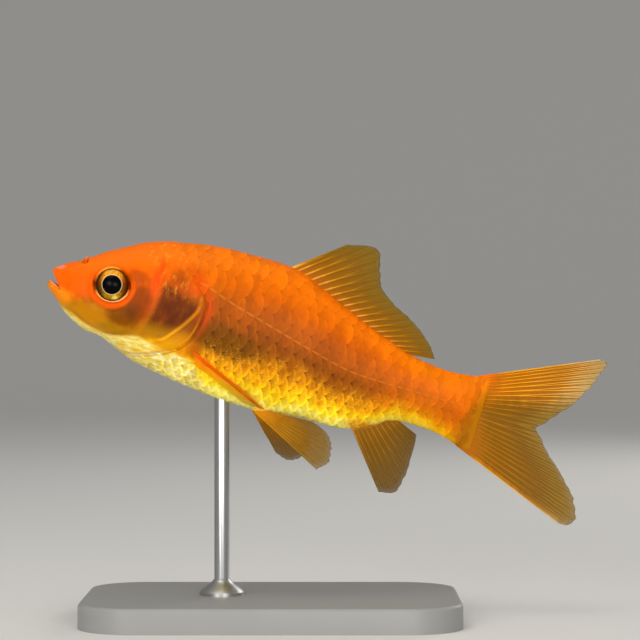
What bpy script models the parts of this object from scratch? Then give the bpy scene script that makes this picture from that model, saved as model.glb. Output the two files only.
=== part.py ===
"""A common goldfish 9 cm long, life size, swimming with its head up on a plain display stand.

The fish is made in its own axes: x runs from the snout towards the tail, z from the belly
towards the back, and its left side is at -y. The empty "fish" then tilts and lifts all of it.
Lengths are written in millimetres and turned into metres by MM.
"""

import math

import bmesh
import bpy
from mathutils import Matrix, Vector

MM = 0.001

# Driving dimensions.
BODY_LENGTH = 70.5  # snout to the root of the tail fin
PITCH = math.radians(17)  # head up
SNOUT_X = -35.5
SNOUT_Z = 54.5  # above the surface that the stand rests on
TAIL_SWING = 3.0  # how far the tip of the tail curves towards the fish's right
SWING_START = 25.0
TAIL_TIP = 91.0
GAP = 0.3  # between neighbouring pieces
FIN_EDGE = 0.5  # thickness of a fin at its margin
FULLNESS = 0.9  # 1 is an ellipse, less makes the sections squarer

# Trunk sections: distance from the snout, back, belly, half width, level of the widest point.
SECTIONS = (
    (0.0, 1.9, -1.1, 1.7, 0.3),
    (1.6, 3.1, -2.45, 2.6, 0.0),
    (4.0, 4.4, -4.5, 3.6, -0.2),
    (7.5, 6.9, -6.1, 4.7, 0.0),
    (10.2, 8.5, -6.4, 5.3, 0.3),
    (13.0, 10.1, -7.4, 5.8, 0.6),
    (17.0, 11.5, -8.8, 6.3, 0.9),
    (24.0, 12.9, -9.9, 6.8, 1.2),
    (31.0, 13.3, -10.5, 6.7, 1.2),
    (37.0, 13.1, -10.5, 6.2, 0.9),
    (44.0, 10.6, -9.7, 5.2, 0.2),
    (51.0, 7.8, -9.4, 4.0, -0.5),
    (55.0, 6.5, -8.2, 3.4, -0.6),
    (59.0, 5.3, -5.8, 2.8, -0.4),
    (65.0, 4.7, -5.5, 2.0, -0.4),
    (BODY_LENGTH, 5.2, -6.7, 1.3, -0.6),
)

# Mouth: the rim of the lips at its top, corner and foot, as distance from the snout and level.
LIP_TOP = (0.25, 1.35)
LIP_CORNER = (2.3, -1.2)
LIP_FOOT = (-0.3, -0.6)
LIP_HALF_WIDTH = 2.0
LIP_THICKNESS = 0.7
THROAT = (5.0, -0.6)
JAW_HINGE = (7.0, -3.6)
JAW_CUT_RISE = 1.0  # how far over the lower lip's rim the cut between the jaws starts

# Head joint, along the edge of the gill covers.
GILL_EDGE_BACK = 24.8
GILL_EDGE_FRONT = 19.0
GILL_EDGE_LEVEL = 1.0
GILL_EDGE_HALF_HEIGHT = 11.0
TAIL_JOINT = 58.5

CUT_REACH = 12.0  # cutters run this far from the fish's middle, clear of its skin
CUT_FRONT = -3.0  # and start this far in front of the snout

EYE_PLACE = (10.2, 2.1)
EYE_DEPTH = 3.75  # its middle from the middle of the head
EYE_RADII = (3.15, 2.3, 2.95)

BASE_SIZE = (60.0, 40.0, 4.0)
BASE_CORNER = 9.0
BASE_EDGE = 0.6
ROD_X = -8.0
ROD_RADIUS = 1.2
ROD_TOP = 38.5
COLLAR_RADIUS = 3.6
COLLAR_HEIGHT = 2.4
COLLAR_EDGE = 0.6
ROD_EDGE = 0.3
SEAT_DEPTH = 1.0  # how deep the collar is let into the base


ORANGE = (0.95, 0.20, 0.01)
PALE_ORANGE = (0.95, 0.30, 0.05)
FLANK_ORANGE = (0.90, 0.28, 0.01)
BROWN = (0.55, 0.16, 0.01)
IRIS_GOLD = (0.30, 0.16, 0.01)
FIN_GOLD = (0.45, 0.22, 0.01)
BASE_GREY = (0.62, 0.61, 0.59)
STEEL = (0.60, 0.60, 0.60)
WET = 0.3  # roughness of the wet skin


def clear_scene():
    for old in list(bpy.data.objects):
        bpy.data.objects.remove(old)


def spline(rows, x):
    """The row at x of a table whose first column is x, on a smooth curve through its rows."""
    last = len(rows) - 2
    k = next((i for i in range(last) if x < rows[i + 1][0]), last)
    before, a, b, after = (rows[min(max(k + i, 0), last + 1)] for i in (-1, 0, 1, 2))
    span = b[0] - a[0]
    t = (x - a[0]) / span
    found = []
    for column in range(1, len(a)):
        slope_a = (b[column] - before[column]) / (b[0] - before[0])
        slope_b = (after[column] - a[column]) / (after[0] - a[0])
        found.append(
            (2 * t**3 - 3 * t**2 + 1) * a[column]
            + (t**3 - 2 * t**2 + t) * span * slope_a
            + (3 * t**2 - 2 * t**3) * b[column]
            + (t**3 - t**2) * span * slope_b
        )
    return found


def swing(x):
    """Sideways place of the backbone."""
    return TAIL_SWING * max(0.0, (x - SWING_START) / (TAIL_TIP - SWING_START)) ** 2


def powered(value):
    return math.copysign(abs(value) ** FULLNESS, value)


def skin(x, angle, lift=0.0):
    """A point of the body's surface. The angle turns from the back over the left side."""
    back, belly, half_width, widest = spline(SECTIONS, x)
    across, up = powered(math.sin(angle)), powered(math.cos(angle))
    height = back - widest if up > 0 else widest - belly
    point = Vector((x, swing(x) - half_width * across, widest + height * up))
    if lift:
        out = Vector((0, -height * across, half_width * up))
        point += lift * out.normalized()
    return point


def angle_at(x, level):
    """The angle at which the left side of the body has this level."""
    back, belly, _, widest = spline(SECTIONS, x)
    height = back - widest if level > widest else widest - belly
    share = max(-1.0, min(1.0, (level - widest) / height))
    return math.acos(math.copysign(abs(share) ** (1 / FULLNESS), share))


def finish(name, bm, colour, roughness, metallic=0.0, parent=None):
    """Makes an object of a bmesh that is in millimetres, with its own material."""
    bmesh.ops.scale(bm, vec=(MM, MM, MM), verts=bm.verts)
    mesh = bpy.data.meshes.new(name)
    bm.to_mesh(mesh)
    bm.free()
    mesh.shade_smooth()
    mesh.set_sharp_from_angle(angle=math.radians(35))
    material = bpy.data.materials.new(name)
    material.use_nodes = True
    shader = material.node_tree.nodes["Principled BSDF"]
    shader.inputs["Base Color"].default_value = (*colour, 1)
    shader.inputs["Roughness"].default_value = roughness
    shader.inputs["Metallic"].default_value = metallic
    mesh.materials.append(material)
    piece = bpy.data.objects.new(name, mesh)
    bpy.context.scene.collection.objects.link(piece)
    piece.parent = parent
    return piece


def face_outwards(bm):
    bmesh.ops.recalc_face_normals(bm, faces=bm.faces)
    if bm.calc_volume(signed=True) < 0:
        bmesh.ops.reverse_faces(bm, faces=bm.faces)


def rolled(columns, rows, place):
    """A bmesh grid rolled into a closed skin. place(turn, along) takes shares of its two sides."""
    bm = bmesh.new()
    bmesh.ops.create_grid(bm, x_segments=columns, y_segments=rows, size=1)
    for vertex in bm.verts:
        turn, along = (vertex.co.x + 1) / 2, (vertex.co.y + 1) / 2
        vertex.co = place(round(turn * columns) % columns / columns, round(along * rows) / rows)
    bmesh.ops.remove_doubles(bm, verts=bm.verts, dist=1e-4)
    face_outwards(bm)
    return bm


def helper(name, bm, parent=None):
    """A cutter, which no render shows."""
    piece = finish(name, bm, (1, 1, 1), 1, parent=parent)
    piece.hide_render = True
    piece.display_type = "WIRE"
    return piece


def cut(piece, cutter, operation="DIFFERENCE"):
    modifier = piece.modifiers.new(cutter.name, "BOOLEAN")
    modifier.operation = operation
    modifier.solver = "EXACT"
    modifier.object = cutter


def prism(outline, y_from, y_to):
    """A bmesh of an outline in the x-z plane, pushed through from one y to the other."""
    bm = bmesh.new()
    face = bm.faces.new([bm.verts.new((x, y_from, z)) for x, z in outline])
    pushed = bmesh.ops.extrude_face_region(bm, geom=[face])
    moved = [v for v in pushed["geom"] if isinstance(v, bmesh.types.BMVert)]
    bmesh.ops.translate(bm, verts=moved, vec=(0, y_to - y_from, 0))
    face_outwards(bm)
    return bm


def ball(centre, radii, grow=0.0):
    bm = bmesh.new()
    bmesh.ops.create_uvsphere(bm, u_segments=24, v_segments=12, radius=1)
    stretch = Matrix.Diagonal([r + grow for r in radii]).to_4x4()
    poles_outwards = Matrix.Rotation(math.radians(90), 4, "X")
    bmesh.ops.transform(
        bm, matrix=Matrix.Translation(centre) @ stretch @ poles_outwards, verts=bm.verts
    )
    return bm


# Flesh: head, lower jaw, gill covers, trunk and tail.


def lip_rim(turn):
    """The rim of the lips: the mouth is open, and its corners lie further back."""
    up, across = math.cos(turn), math.sin(turn)
    edge = LIP_TOP if up > 0 else LIP_FOOT
    share = abs(up) ** 1.3
    x = LIP_CORNER[0] + (edge[0] - LIP_CORNER[0]) * share
    z = LIP_CORNER[1] + (edge[1] - LIP_CORNER[1]) * abs(up)
    return Vector((x, -LIP_HALF_WIDTH * across, z))


def gill_edge(angle):
    """Distance from the snout of the joint behind the head."""
    level = skin(GILL_EDGE_BACK, angle).z - GILL_EDGE_LEVEL
    reach = min(1.0, abs(level) / GILL_EDGE_HALF_HEIGHT)
    return GILL_EDGE_BACK - (GILL_EDGE_BACK - GILL_EDGE_FRONT) * reach**2


def front_of_head(turn):
    return lip_rim(turn).x + LIP_THICKNESS


HEAD_COLUMNS = 32
MOUTH_ROWS = 4
HEAD_ROWS = 16


def head_point(turn, along):
    """From the throat out over the lips, back over the head, and in again to close it."""
    angle = 2 * math.pi * turn
    row = round(along * (MOUTH_ROWS + HEAD_ROWS + 1))
    throat = Vector((THROAT[0], 0, THROAT[1]))
    if row <= MOUTH_ROWS:
        outwards = (row / MOUTH_ROWS) ** 0.6
        return throat.lerp(lip_rim(angle), outwards)
    if row > MOUTH_ROWS + HEAD_ROWS:
        return Vector((GILL_EDGE_FRONT - GAP / 2, 0, GILL_EDGE_LEVEL))
    share = ((row - MOUTH_ROWS - 1) / (HEAD_ROWS - 1)) ** 1.25
    front, back = front_of_head(angle), gill_edge(angle) - GAP / 2
    return skin(front + (back - front) * share, angle)


def head_skin():
    return rolled(HEAD_COLUMNS, MOUTH_ROWS + HEAD_ROWS + 1, head_point)


def jaw_outline(grow):
    """The lower jaw from the side: the mouth's corner, the hinge and the throat."""
    return (
        (CUT_FRONT, LIP_FOOT[1] + JAW_CUT_RISE + grow),
        (LIP_CORNER[0], LIP_CORNER[1] + grow),
        (JAW_HINGE[0] + grow, JAW_HINGE[1] + grow),
        (JAW_HINGE[0] + 1.0 + grow, -CUT_REACH),
        (CUT_FRONT, -CUT_REACH),
    )


GILL_COVER = (22.0, 0.8, 4.5, 7.2)  # middle and half sizes, from the side
GILL_COVER_INSIDE = 4.7  # how far from the middle of the head it starts


def gill_cover_outline(grow):
    x, z, half_length, half_height = GILL_COVER
    turns = [2 * math.pi * k / 28 for k in range(28)]
    return [
        (x + (half_length + grow) * math.cos(a), z + (half_height + grow) * math.sin(a))
        for a in turns
    ]


def make_head(fish):
    head = finish("head", head_skin(), ORANGE, WET, parent=fish)
    jaw = finish("lower_jaw", head_skin(), PALE_ORANGE, WET, parent=fish)
    jaw_shape = prism(jaw_outline(0), -CUT_REACH, CUT_REACH)
    jaw_room = prism(jaw_outline(GAP), -CUT_REACH, CUT_REACH)
    cut(jaw, helper("jaw_shape", jaw_shape, fish), "INTERSECT")
    cut(head, helper("jaw_room", jaw_room, fish))
    for side, name in ((-1, "left"), (1, "right")):
        inside = side * GILL_COVER_INSIDE
        shape = prism(gill_cover_outline(0), inside, side * CUT_REACH)
        room = prism(gill_cover_outline(GAP), inside - side * GAP, side * CUT_REACH)
        cover = finish("gill_cover_" + name, head_skin(), BROWN, WET, parent=fish)
        cut(cover, helper("gill_shape_" + name, shape, fish), "INTERSECT")
        cut(head, helper("gill_room_" + name, room, fish))
        eye_place = (EYE_PLACE[0], side * EYE_DEPTH, EYE_PLACE[1])
        cut(head, helper("eye_room_" + name, ball(eye_place, EYE_RADII, GAP), fish))
        finish("eye_" + name, ball(eye_place, EYE_RADII), IRIS_GOLD, 0.1, parent=fish)


TRUNK_ROWS = 24
TAIL_ROWS = 8


def trunk_point(turn, along):
    angle = 2 * math.pi * turn
    row = round(along * (TRUNK_ROWS + 2))
    if row == 0:
        return Vector((GILL_EDGE_FRONT + GAP / 2, 0, GILL_EDGE_LEVEL))
    if row == TRUNK_ROWS + 2:
        return Vector((TAIL_JOINT - GAP / 2, swing(TAIL_JOINT), 0))
    front = gill_edge(angle) + GAP / 2
    return skin(front + (TAIL_JOINT - GAP / 2 - front) * (row - 1) / TRUNK_ROWS, angle)


def tail_point(turn, along):
    row = round(along * (TAIL_ROWS + 2))
    share = min(max(row - 1, 0), TAIL_ROWS) / TAIL_ROWS
    x = TAIL_JOINT + GAP / 2 + (BODY_LENGTH - GAP - TAIL_JOINT) * share
    if row in (0, TAIL_ROWS + 2):
        return Vector((x, swing(x), 0))
    return skin(x, 2 * math.pi * turn)


def make_trunk(fish):
    trunk = rolled(HEAD_COLUMNS, TRUNK_ROWS + 2, trunk_point)
    trunk = finish("trunk", trunk, FLANK_ORANGE, WET, parent=fish)
    bore = bmesh.new()
    bore_length = 20.0  # from the rod's top down through the belly
    bmesh.ops.create_cone(
        bore,
        cap_ends=True,
        segments=24,
        radius1=ROD_RADIUS + GAP,
        radius2=ROD_RADIUS + GAP,
        depth=bore_length,
    )
    middle = ROD_TOP + GAP - bore_length / 2
    bmesh.ops.translate(bore, verts=bore.verts, vec=(ROD_X, 0, middle))
    cut(trunk, helper("rod_bore", bore))
    tail = rolled(HEAD_COLUMNS, TAIL_ROWS + 2, tail_point)
    finish("tail", tail, ORANGE, WET, parent=fish)


# Fins. A fan gives, for a share of the way from its first ray to its last, where the ray starts,
# the way it points and its length.


def fin_blade(ray, rays, rows, root_thickness):
    """A thin closed blade. ray(share, along) is a point on its middle surface."""

    def flat_normal(share, along):
        nudge = 0.02
        a, b = min(share, 1 - nudge), min(along, 1 - nudge)
        across = ray(a + nudge, b) - ray(a, b)
        outwards = ray(a, b + nudge) - ray(a, b)
        return across.cross(outwards).normalized()

    def place(turn, along):
        column = round(turn * 2 * rays)
        side = 1 if column < rays else -1
        share = column / rays if column < rays else 2 - column / rays
        point = ray(share, along)
        at_rim = column in (0, rays) or along in (0, 1)
        if at_rim:
            return point
        thickness = root_thickness + (FIN_EDGE - root_thickness) * along**0.5
        return point + flat_normal(share, along) * side * thickness / 2

    return rolled(2 * rays, rows, place)


def fan_ray(root, fan, sideways=(0, 0)):
    """Rays that start at root(share) and follow the fan's table of share, angle and length.

    sideways is how far the tips of the first and the last ray are turned out of the fan's plane.
    """

    def ray(share, along):
        angle, length = spline(fan, share)
        start = root(share)
        reach = Vector((math.cos(math.radians(angle)), 0, math.sin(math.radians(angle))))
        point = start + reach * length * along
        outwards = sideways[0] + (sideways[1] - sideways[0]) * share
        point.y += swing(point.x) - swing(start.x) + outwards * along
        return point

    return ray


DORSAL_ROOT = (36.3, 57.9)
DORSAL_FAN = (
    (0.0, 39, 9.7),
    (0.12, 38, 12.3),
    (0.25, 33, 9.9),
    (0.36, 30, 7.9),
    (0.5, 27, 7.1),
    (0.67, 22, 7.2),
    (0.85, 15, 6.1),
    (1.0, 8, 4.4),
)
ANAL_ROOT = (53.2, 59.6)
ANAL_FAN = (
    (0.0, -48, 10.9),
    (0.25, -45, 11.3),
    (0.5, -41, 9.2),
    (0.75, -34, 6.4),
    (1.0, -22, 3.6),
)
UPPER_LOBE_ROOT = (5.2, -0.45)
UPPER_LOBE_FAN = (
    (0.0, 24.8, 19.2),
    (0.12, 24.4, 20.9),
    (0.25, 23.3, 20.4),
    (0.4, 21.4, 19.5),
    (0.55, 18.2, 18.0),
    (0.7, 13.6, 15.8),
    (0.85, 8.5, 13.2),
    (1.0, 2.3, 10.6),
)
LOWER_LOBE_ROOT = (-6.7, -0.75)
LOWER_LOBE_FAN = (
    (0.0, -20.4, 20.0),
    (0.12, -20.1, 22.0),
    (0.25, -17.6, 22.4),
    (0.4, -14.2, 20.9),
    (0.55, -12.0, 18.8),
    (0.7, -9.5, 16.3),
    (0.85, -5.5, 13.4),
    (1.0, 2.3, 10.7),
)
FIN_CLEARANCE = 0.4  # from a fin's root to the skin
TAIL_FIN_SETBACK = 0.2


def make_middle_fins(fish):
    """The dorsal, anal and tail fins, which stand on the middle of the body."""

    def on_back(share):
        x = DORSAL_ROOT[0] + (DORSAL_ROOT[1] - DORSAL_ROOT[0]) * share
        return skin(x, 0, FIN_CLEARANCE)

    def on_belly(share):
        x = ANAL_ROOT[0] + (ANAL_ROOT[1] - ANAL_ROOT[0]) * share
        return skin(x, math.pi, FIN_CLEARANCE)

    def on_tail(levels):
        def root(share):
            z = levels[0] + (levels[1] - levels[0]) * share
            return Vector((BODY_LENGTH + TAIL_FIN_SETBACK, swing(BODY_LENGTH), z))

        return root

    for name, root, fan, rays, rows, thickness in (
        ("dorsal_fin", on_back, DORSAL_FAN, 18, 6, 0.9),
        ("anal_fin", on_belly, ANAL_FAN, 8, 6, 0.9),
        ("caudal_fin_upper", on_tail(UPPER_LOBE_ROOT), UPPER_LOBE_FAN, 10, 8, 1.6),
        ("caudal_fin_lower", on_tail(LOWER_LOBE_ROOT), LOWER_LOBE_FAN, 10, 8, 1.6),
    ):
        blade = fin_blade(fan_ray(root, fan), rays, rows, thickness)
        finish(name, blade, FIN_GOLD, 0.35, parent=fish)


# Pectoral fins, folded back along the lower flank: each edge ray as distance from the snout,
# level and lift from the body, at its root and at its tip.
PECTORAL_TOP_RAY = ((25.4, -4.0, 0.45), (39.2, -8.8, 1.6))
PECTORAL_FOOT_RAY = ((26.2, -6.0, 0.45), (36.6, -9.6, 0.9))

# Pelvic fins, from the belly. The left one trails and the right one is spread down and outwards.
PELVIC_ROOT = ((36.6, 1.6, -10.9), (39.4, 1.9, -10.4))
LEFT_PELVIC_FAN = (
    (0.0, -25, 13.9),
    (0.25, -19, 14.2),
    (0.5, -11, 12.8),
    (0.75, -4, 10.8),
    (1.0, 4, 7.2),
)
LEFT_PELVIC_SPREAD = (3.8, 2.2)
RIGHT_PELVIC_FAN = (
    (0.0, -46, 8.2),
    (0.25, -42.5, 9.4),
    (0.5, -36, 9.9),
    (0.75, -26, 9.3),
    (1.0, -12, 7.2),
)
RIGHT_PELVIC_SPREAD = (7.0, 3.6)


def body_ray(ray, along, side):
    """A ray that keeps to the body's side. It lies in the flank's own curve."""
    (x0, z0, lift0), (x1, z1, lift1) = ray
    x = x0 + (x1 - x0) * along
    z = z0 + (z1 - z0) * along
    point = skin(x, angle_at(x, z), lift0 + (lift1 - lift0) * along)
    return Vector((point.x, swing(x) - side * (point.y - swing(x)), point.z))


def make_paired_fins(fish):
    for side, name in ((-1, "left"), (1, "right")):

        def pectoral(share, along, side=side):
            length = 1 - 0.1 * share**2
            top = body_ray(PECTORAL_TOP_RAY, along * length, side)
            foot = body_ray(PECTORAL_FOOT_RAY, along * length, side)
            return top.lerp(foot, share)

        blade = fin_blade(pectoral, 8, 8, 0.7)
        finish("pectoral_fin_" + name, blade, FIN_GOLD, 0.35, parent=fish)

    for side, name, fan, spread in (
        (-1, "left", LEFT_PELVIC_FAN, LEFT_PELVIC_SPREAD),
        (1, "right", RIGHT_PELVIC_FAN, RIGHT_PELVIC_SPREAD),
    ):

        def root(share, side=side):
            x, y, z = Vector(PELVIC_ROOT[0]).lerp(Vector(PELVIC_ROOT[1]), share)
            return Vector((x, swing(x) + side * y, z))

        ray = fan_ray(root, fan, [side * reach for reach in spread])
        blade = fin_blade(ray, 8, 7, 0.8)
        finish("pelvic_fin_" + name, blade, FIN_GOLD, 0.35, parent=fish)


# Stand.


def make_stand():
    length, width, height = BASE_SIZE
    base = bmesh.new()
    outline = []
    for corner in range(4):
        sign_x = 1 if corner in (0, 3) else -1
        sign_y = 1 if corner < 2 else -1
        middle = (sign_x * (length / 2 - BASE_CORNER), sign_y * (width / 2 - BASE_CORNER))
        for step in range(9):
            turn = math.radians(90 * corner + 90 * step / 8)
            outline.append(
                base.verts.new(
                    (
                        middle[0] + BASE_CORNER * math.cos(turn),
                        middle[1] + BASE_CORNER * math.sin(turn),
                        0,
                    )
                )
            )
    floor_face = base.faces.new(outline)
    pushed = bmesh.ops.extrude_face_region(base, geom=[floor_face])
    top = [v for v in pushed["geom"] if isinstance(v, bmesh.types.BMVert)]
    bmesh.ops.translate(base, verts=top, vec=(0, 0, height))
    top_edges = [e for e in base.edges if all(v.co.z > height / 2 for v in e.verts)]
    bmesh.ops.bevel(
        base,
        geom=top_edges,
        offset=BASE_EDGE,
        segments=2,
        profile=0.5,
        affect="EDGES",
        material=-1,
    )
    face_outwards(base)
    base = finish("stand_base", base, BASE_GREY, 0.5)

    seat = bmesh.new()
    seat_radius = COLLAR_RADIUS + GAP
    seat_height = 6 * SEAT_DEPTH
    bmesh.ops.create_cone(
        seat,
        cap_ends=True,
        segments=32,
        radius1=seat_radius,
        radius2=seat_radius,
        depth=seat_height,
    )
    middle = height - SEAT_DEPTH + seat_height / 2
    bmesh.ops.translate(seat, verts=seat.verts, vec=(ROD_X, 0, middle))
    cut(base, helper("collar_seat", seat))

    foot = height - SEAT_DEPTH + GAP
    collar_top = height + COLLAR_HEIGHT
    profile = (
        (0, ROD_TOP),
        (ROD_RADIUS - ROD_EDGE, ROD_TOP),
        (ROD_RADIUS, ROD_TOP - ROD_EDGE),
        (ROD_RADIUS, collar_top),
        (ROD_RADIUS + COLLAR_EDGE, collar_top - COLLAR_EDGE),
        (COLLAR_RADIUS, height + COLLAR_EDGE),
        (COLLAR_RADIUS, foot),
        (0, foot),
    )
    rod = bmesh.new()
    line = [rod.verts.new((r, 0, z)) for r, z in profile]
    edges = [rod.edges.new(pair) for pair in zip(line, line[1:])]
    bmesh.ops.spin(
        rod,
        geom=line + edges,
        cent=(0, 0, 0),
        axis=(0, 0, 1),
        angle=2 * math.pi,
        steps=24,
        use_merge=True,
    )
    bmesh.ops.remove_doubles(rod, verts=rod.verts, dist=1e-4)
    face_outwards(rod)
    bmesh.ops.translate(rod, verts=rod.verts, vec=(ROD_X, 0, 0))
    finish("stand_rod", rod, STEEL, 0.3, metallic=1.0)


def main():
    clear_scene()
    fish = bpy.data.objects.new("fish", None)
    bpy.context.scene.collection.objects.link(fish)
    fish.location = (SNOUT_X * MM, 0, SNOUT_Z * MM)
    fish.rotation_euler = (0, PITCH, 0)
    make_head(fish)
    make_trunk(fish)
    make_middle_fins(fish)
    make_paired_fins(fish)
    make_stand()


main()
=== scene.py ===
import math

import bmesh
import bpy
import numpy as np
from mathutils import Matrix, Vector


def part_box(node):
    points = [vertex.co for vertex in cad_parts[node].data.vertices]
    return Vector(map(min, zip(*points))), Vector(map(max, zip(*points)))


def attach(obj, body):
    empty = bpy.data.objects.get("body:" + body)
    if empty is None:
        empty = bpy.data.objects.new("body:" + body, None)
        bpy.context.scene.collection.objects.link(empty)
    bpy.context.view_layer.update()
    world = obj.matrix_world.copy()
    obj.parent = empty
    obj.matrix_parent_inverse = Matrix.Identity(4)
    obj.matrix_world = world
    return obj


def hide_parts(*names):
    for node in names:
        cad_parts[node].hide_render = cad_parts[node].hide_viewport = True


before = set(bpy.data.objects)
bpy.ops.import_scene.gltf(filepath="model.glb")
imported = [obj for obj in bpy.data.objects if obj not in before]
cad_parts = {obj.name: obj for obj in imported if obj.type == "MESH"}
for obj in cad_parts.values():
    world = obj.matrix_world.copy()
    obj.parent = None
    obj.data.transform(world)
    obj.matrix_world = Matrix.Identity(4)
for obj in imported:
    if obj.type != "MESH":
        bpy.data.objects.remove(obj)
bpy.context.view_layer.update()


# Studio. A pale paper sweep, one large soft light overhead, a weaker one in front, a small low one
# in front and one behind. The camera looks level and square at the fish's left side from arm's length.

CAMERA_PLACE = (0.0077, -0.40, 0.04794)
LENS = 140.6  # on a 36 mm sensor
FISH_MIDDLE = (0.0, 0.0, 0.045)

camera_data = bpy.data.cameras.new("camera")
camera_data.lens = LENS
camera_data.sensor_width = 36
camera = bpy.data.objects.new("camera", camera_data)
camera.location = CAMERA_PLACE
camera.rotation_euler = (math.radians(90), 0, 0)
bpy.context.scene.collection.objects.link(camera)
bpy.context.scene.camera = camera
bpy.context.scene.view_settings.view_transform = "Standard"


def soft_light(name, place, size, power, colour, spread=180):
    """A round lamp that faces the fish. The spread is in degrees."""
    lamp = bpy.data.lights.new(name, "AREA")
    lamp.shape = "DISK"
    lamp.size = size
    lamp.energy = power
    lamp.spread = math.radians(spread)
    lamp.color = colour
    light = bpy.data.objects.new(name, lamp)
    light.location = place
    aim = Vector(FISH_MIDDLE) - Vector(place)
    light.rotation_euler = aim.to_track_quat("-Z", "Y").to_euler()
    bpy.context.scene.collection.objects.link(light)


soft_light("light_overhead", (-0.10, -0.12, 0.50), 0.40, 0.86, (1.0, 0.98, 0.95))
soft_light("light_front", (-0.22, -0.55, 0.15), 0.26, 0.225, (1.0, 0.99, 0.97), 70)
soft_light("light_low", (0.08, -0.30, 0.07), 0.11, 0.056, (1.0, 0.99, 0.97), 70)
soft_light("light_behind", (0.35, 0.40, 0.25), 0.30, 0.72, (1.0, 0.97, 0.93))

world = bpy.data.worlds.new("studio")
world.use_nodes = True
world.node_tree.nodes["Background"].inputs["Color"].default_value = (0.86, 0.87, 0.88, 1)
world.node_tree.nodes["Background"].inputs["Strength"].default_value = 0.45
bpy.context.scene.world = world


def place_socket(node, inputs):
    """Feeds a node's inputs, named or counted, with sockets or plain values."""
    for key, value in inputs:
        socket = node.inputs[key]
        if isinstance(value, bpy.types.NodeSocket):
            node.id_data.links.new(value, socket)
        else:
            socket.default_value = value


def new_node(tree, kind, *values, **settings):
    """A node of this kind, its first inputs fed in order."""
    node = tree.nodes.new("ShaderNode" + kind)
    for key, value in settings.items():
        setattr(node, key, value)
    place_socket(node, enumerate(values))
    return node


def tree_of(values):
    """The node tree that the first socket among these values is in."""
    return next(v.id_data for v in values if isinstance(v, bpy.types.NodeSocket))


def add(kind, *values, **settings):
    """The first output of a new node, in the tree of the sockets that feed it."""
    return new_node(tree_of(values), kind, *values, **settings).outputs[0]


def paint(code):
    """A colour written as six sRGB digits."""
    shares = [int(code[k : k + 2], 16) / 255 for k in (0, 2, 4)]
    linear = [s / 12.92 if s <= 0.04045 else ((s + 0.055) / 1.055) ** 2.4 for s in shares]
    return (*linear, 1)


def blend(share, first, second, mode="MIX"):
    """The first colour at share 0 and the second at share 1."""
    tree = tree_of((share, first, second))
    node = new_node(tree, "Mix", data_type="RGBA", blend_type=mode)
    colours = [paint(c) if isinstance(c, str) else c for c in (first, second)]
    place_socket(node, ((0, share), (6, colours[0]), (7, colours[1])))
    return node.outputs[2]


def noise(place, scale, detail=2.0, roughness=0.5):
    return add("TexNoise", place, 0.0, scale, detail, roughness)


def new_material(name):
    """A material with an empty Principled shader. Returns it, its tree and its shader."""
    material = bpy.data.materials.new(name)
    material.use_nodes = True
    tree = material.node_tree
    return material, tree, tree.nodes["Principled BSDF"]


def object_place(tree):
    return new_node(tree, "TexCoord").outputs["Object"]


def paper():
    material, tree, shader = new_material("paper")
    grain = noise(object_place(tree), 900.0, 4.0)
    tree.links.new(blend(grain, "d9d7d3", "dedcd8"), shader.inputs["Base Color"])
    shader.inputs["Roughness"].default_value = 0.9
    return material


SWEEP_WIDTH = 6.0
SWEEP_FLAT = 0.3  # share of the paper that lies flat
SWEEP_TURNED = 0.8  # share by which it has turned upright
SWEEP_FRONT = -3.0
SWEEP_BEND = 0.9  # where the floor starts to turn up, behind the fish
SWEEP_RADIUS = 1.2
SWEEP_HEIGHT = 4.0

bm = bmesh.new()
bmesh.ops.create_grid(bm, x_segments=1, y_segments=40, size=1)
for vertex in bm.verts:
    share = (vertex.co.y + 1) / 2
    turn = max(0.0, min(1.0, (share - SWEEP_FLAT) / (SWEEP_TURNED - SWEEP_FLAT))) * math.pi / 2
    flat = SWEEP_FRONT + (SWEEP_BEND - SWEEP_FRONT) * min(1.0, share / SWEEP_FLAT)
    climb = (SWEEP_HEIGHT - SWEEP_RADIUS) * max(0.0, (share - SWEEP_TURNED) / (1 - SWEEP_TURNED))
    vertex.co = (
        vertex.co.x * SWEEP_WIDTH / 2,
        flat + SWEEP_RADIUS * math.sin(turn),
        SWEEP_RADIUS * (1 - math.cos(turn)) + climb,
    )
mesh = bpy.data.meshes.new("floor")
bm.to_mesh(mesh)
bm.free()
mesh.shade_smooth()
mesh.materials.append(paper())
floor = bpy.data.objects.new("floor", mesh)
bpy.context.scene.collection.objects.link(floor)


# Skin. One unbroken skin covers the head, gill covers, trunk and tail. It starts in the throat,
# turns out over the lips and runs back to the root of the tail fin, and lies deeper under the
# scales by their height.

# Lengths are millimetres in the fish's own axes: x from the snout towards the tail, z from the
# belly towards the back, and its left side at -y.
MM = 0.001
SIDES = ((-1, "left"), (1, "right"))
PITCH = math.radians(17)
EYE = (10.2, 2.1)  # middle of the eye, from the snout
TURN = np.array(Matrix.Rotation(PITCH, 3, "Y"))
eye_corners = [np.array(corner) for name in ("eye_left", "eye_right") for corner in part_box(name)]
SNOUT = sum(eye_corners) / 4 - TURN @ (EYE[0] * MM, 0, EYE[1] * MM)

TAIL_SWING = 3.0
SWING_START = 25.0
TAIL_TIP = 91.0
FULLNESS = 0.9  # 1 is an ellipse, less makes the sections squarer

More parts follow.
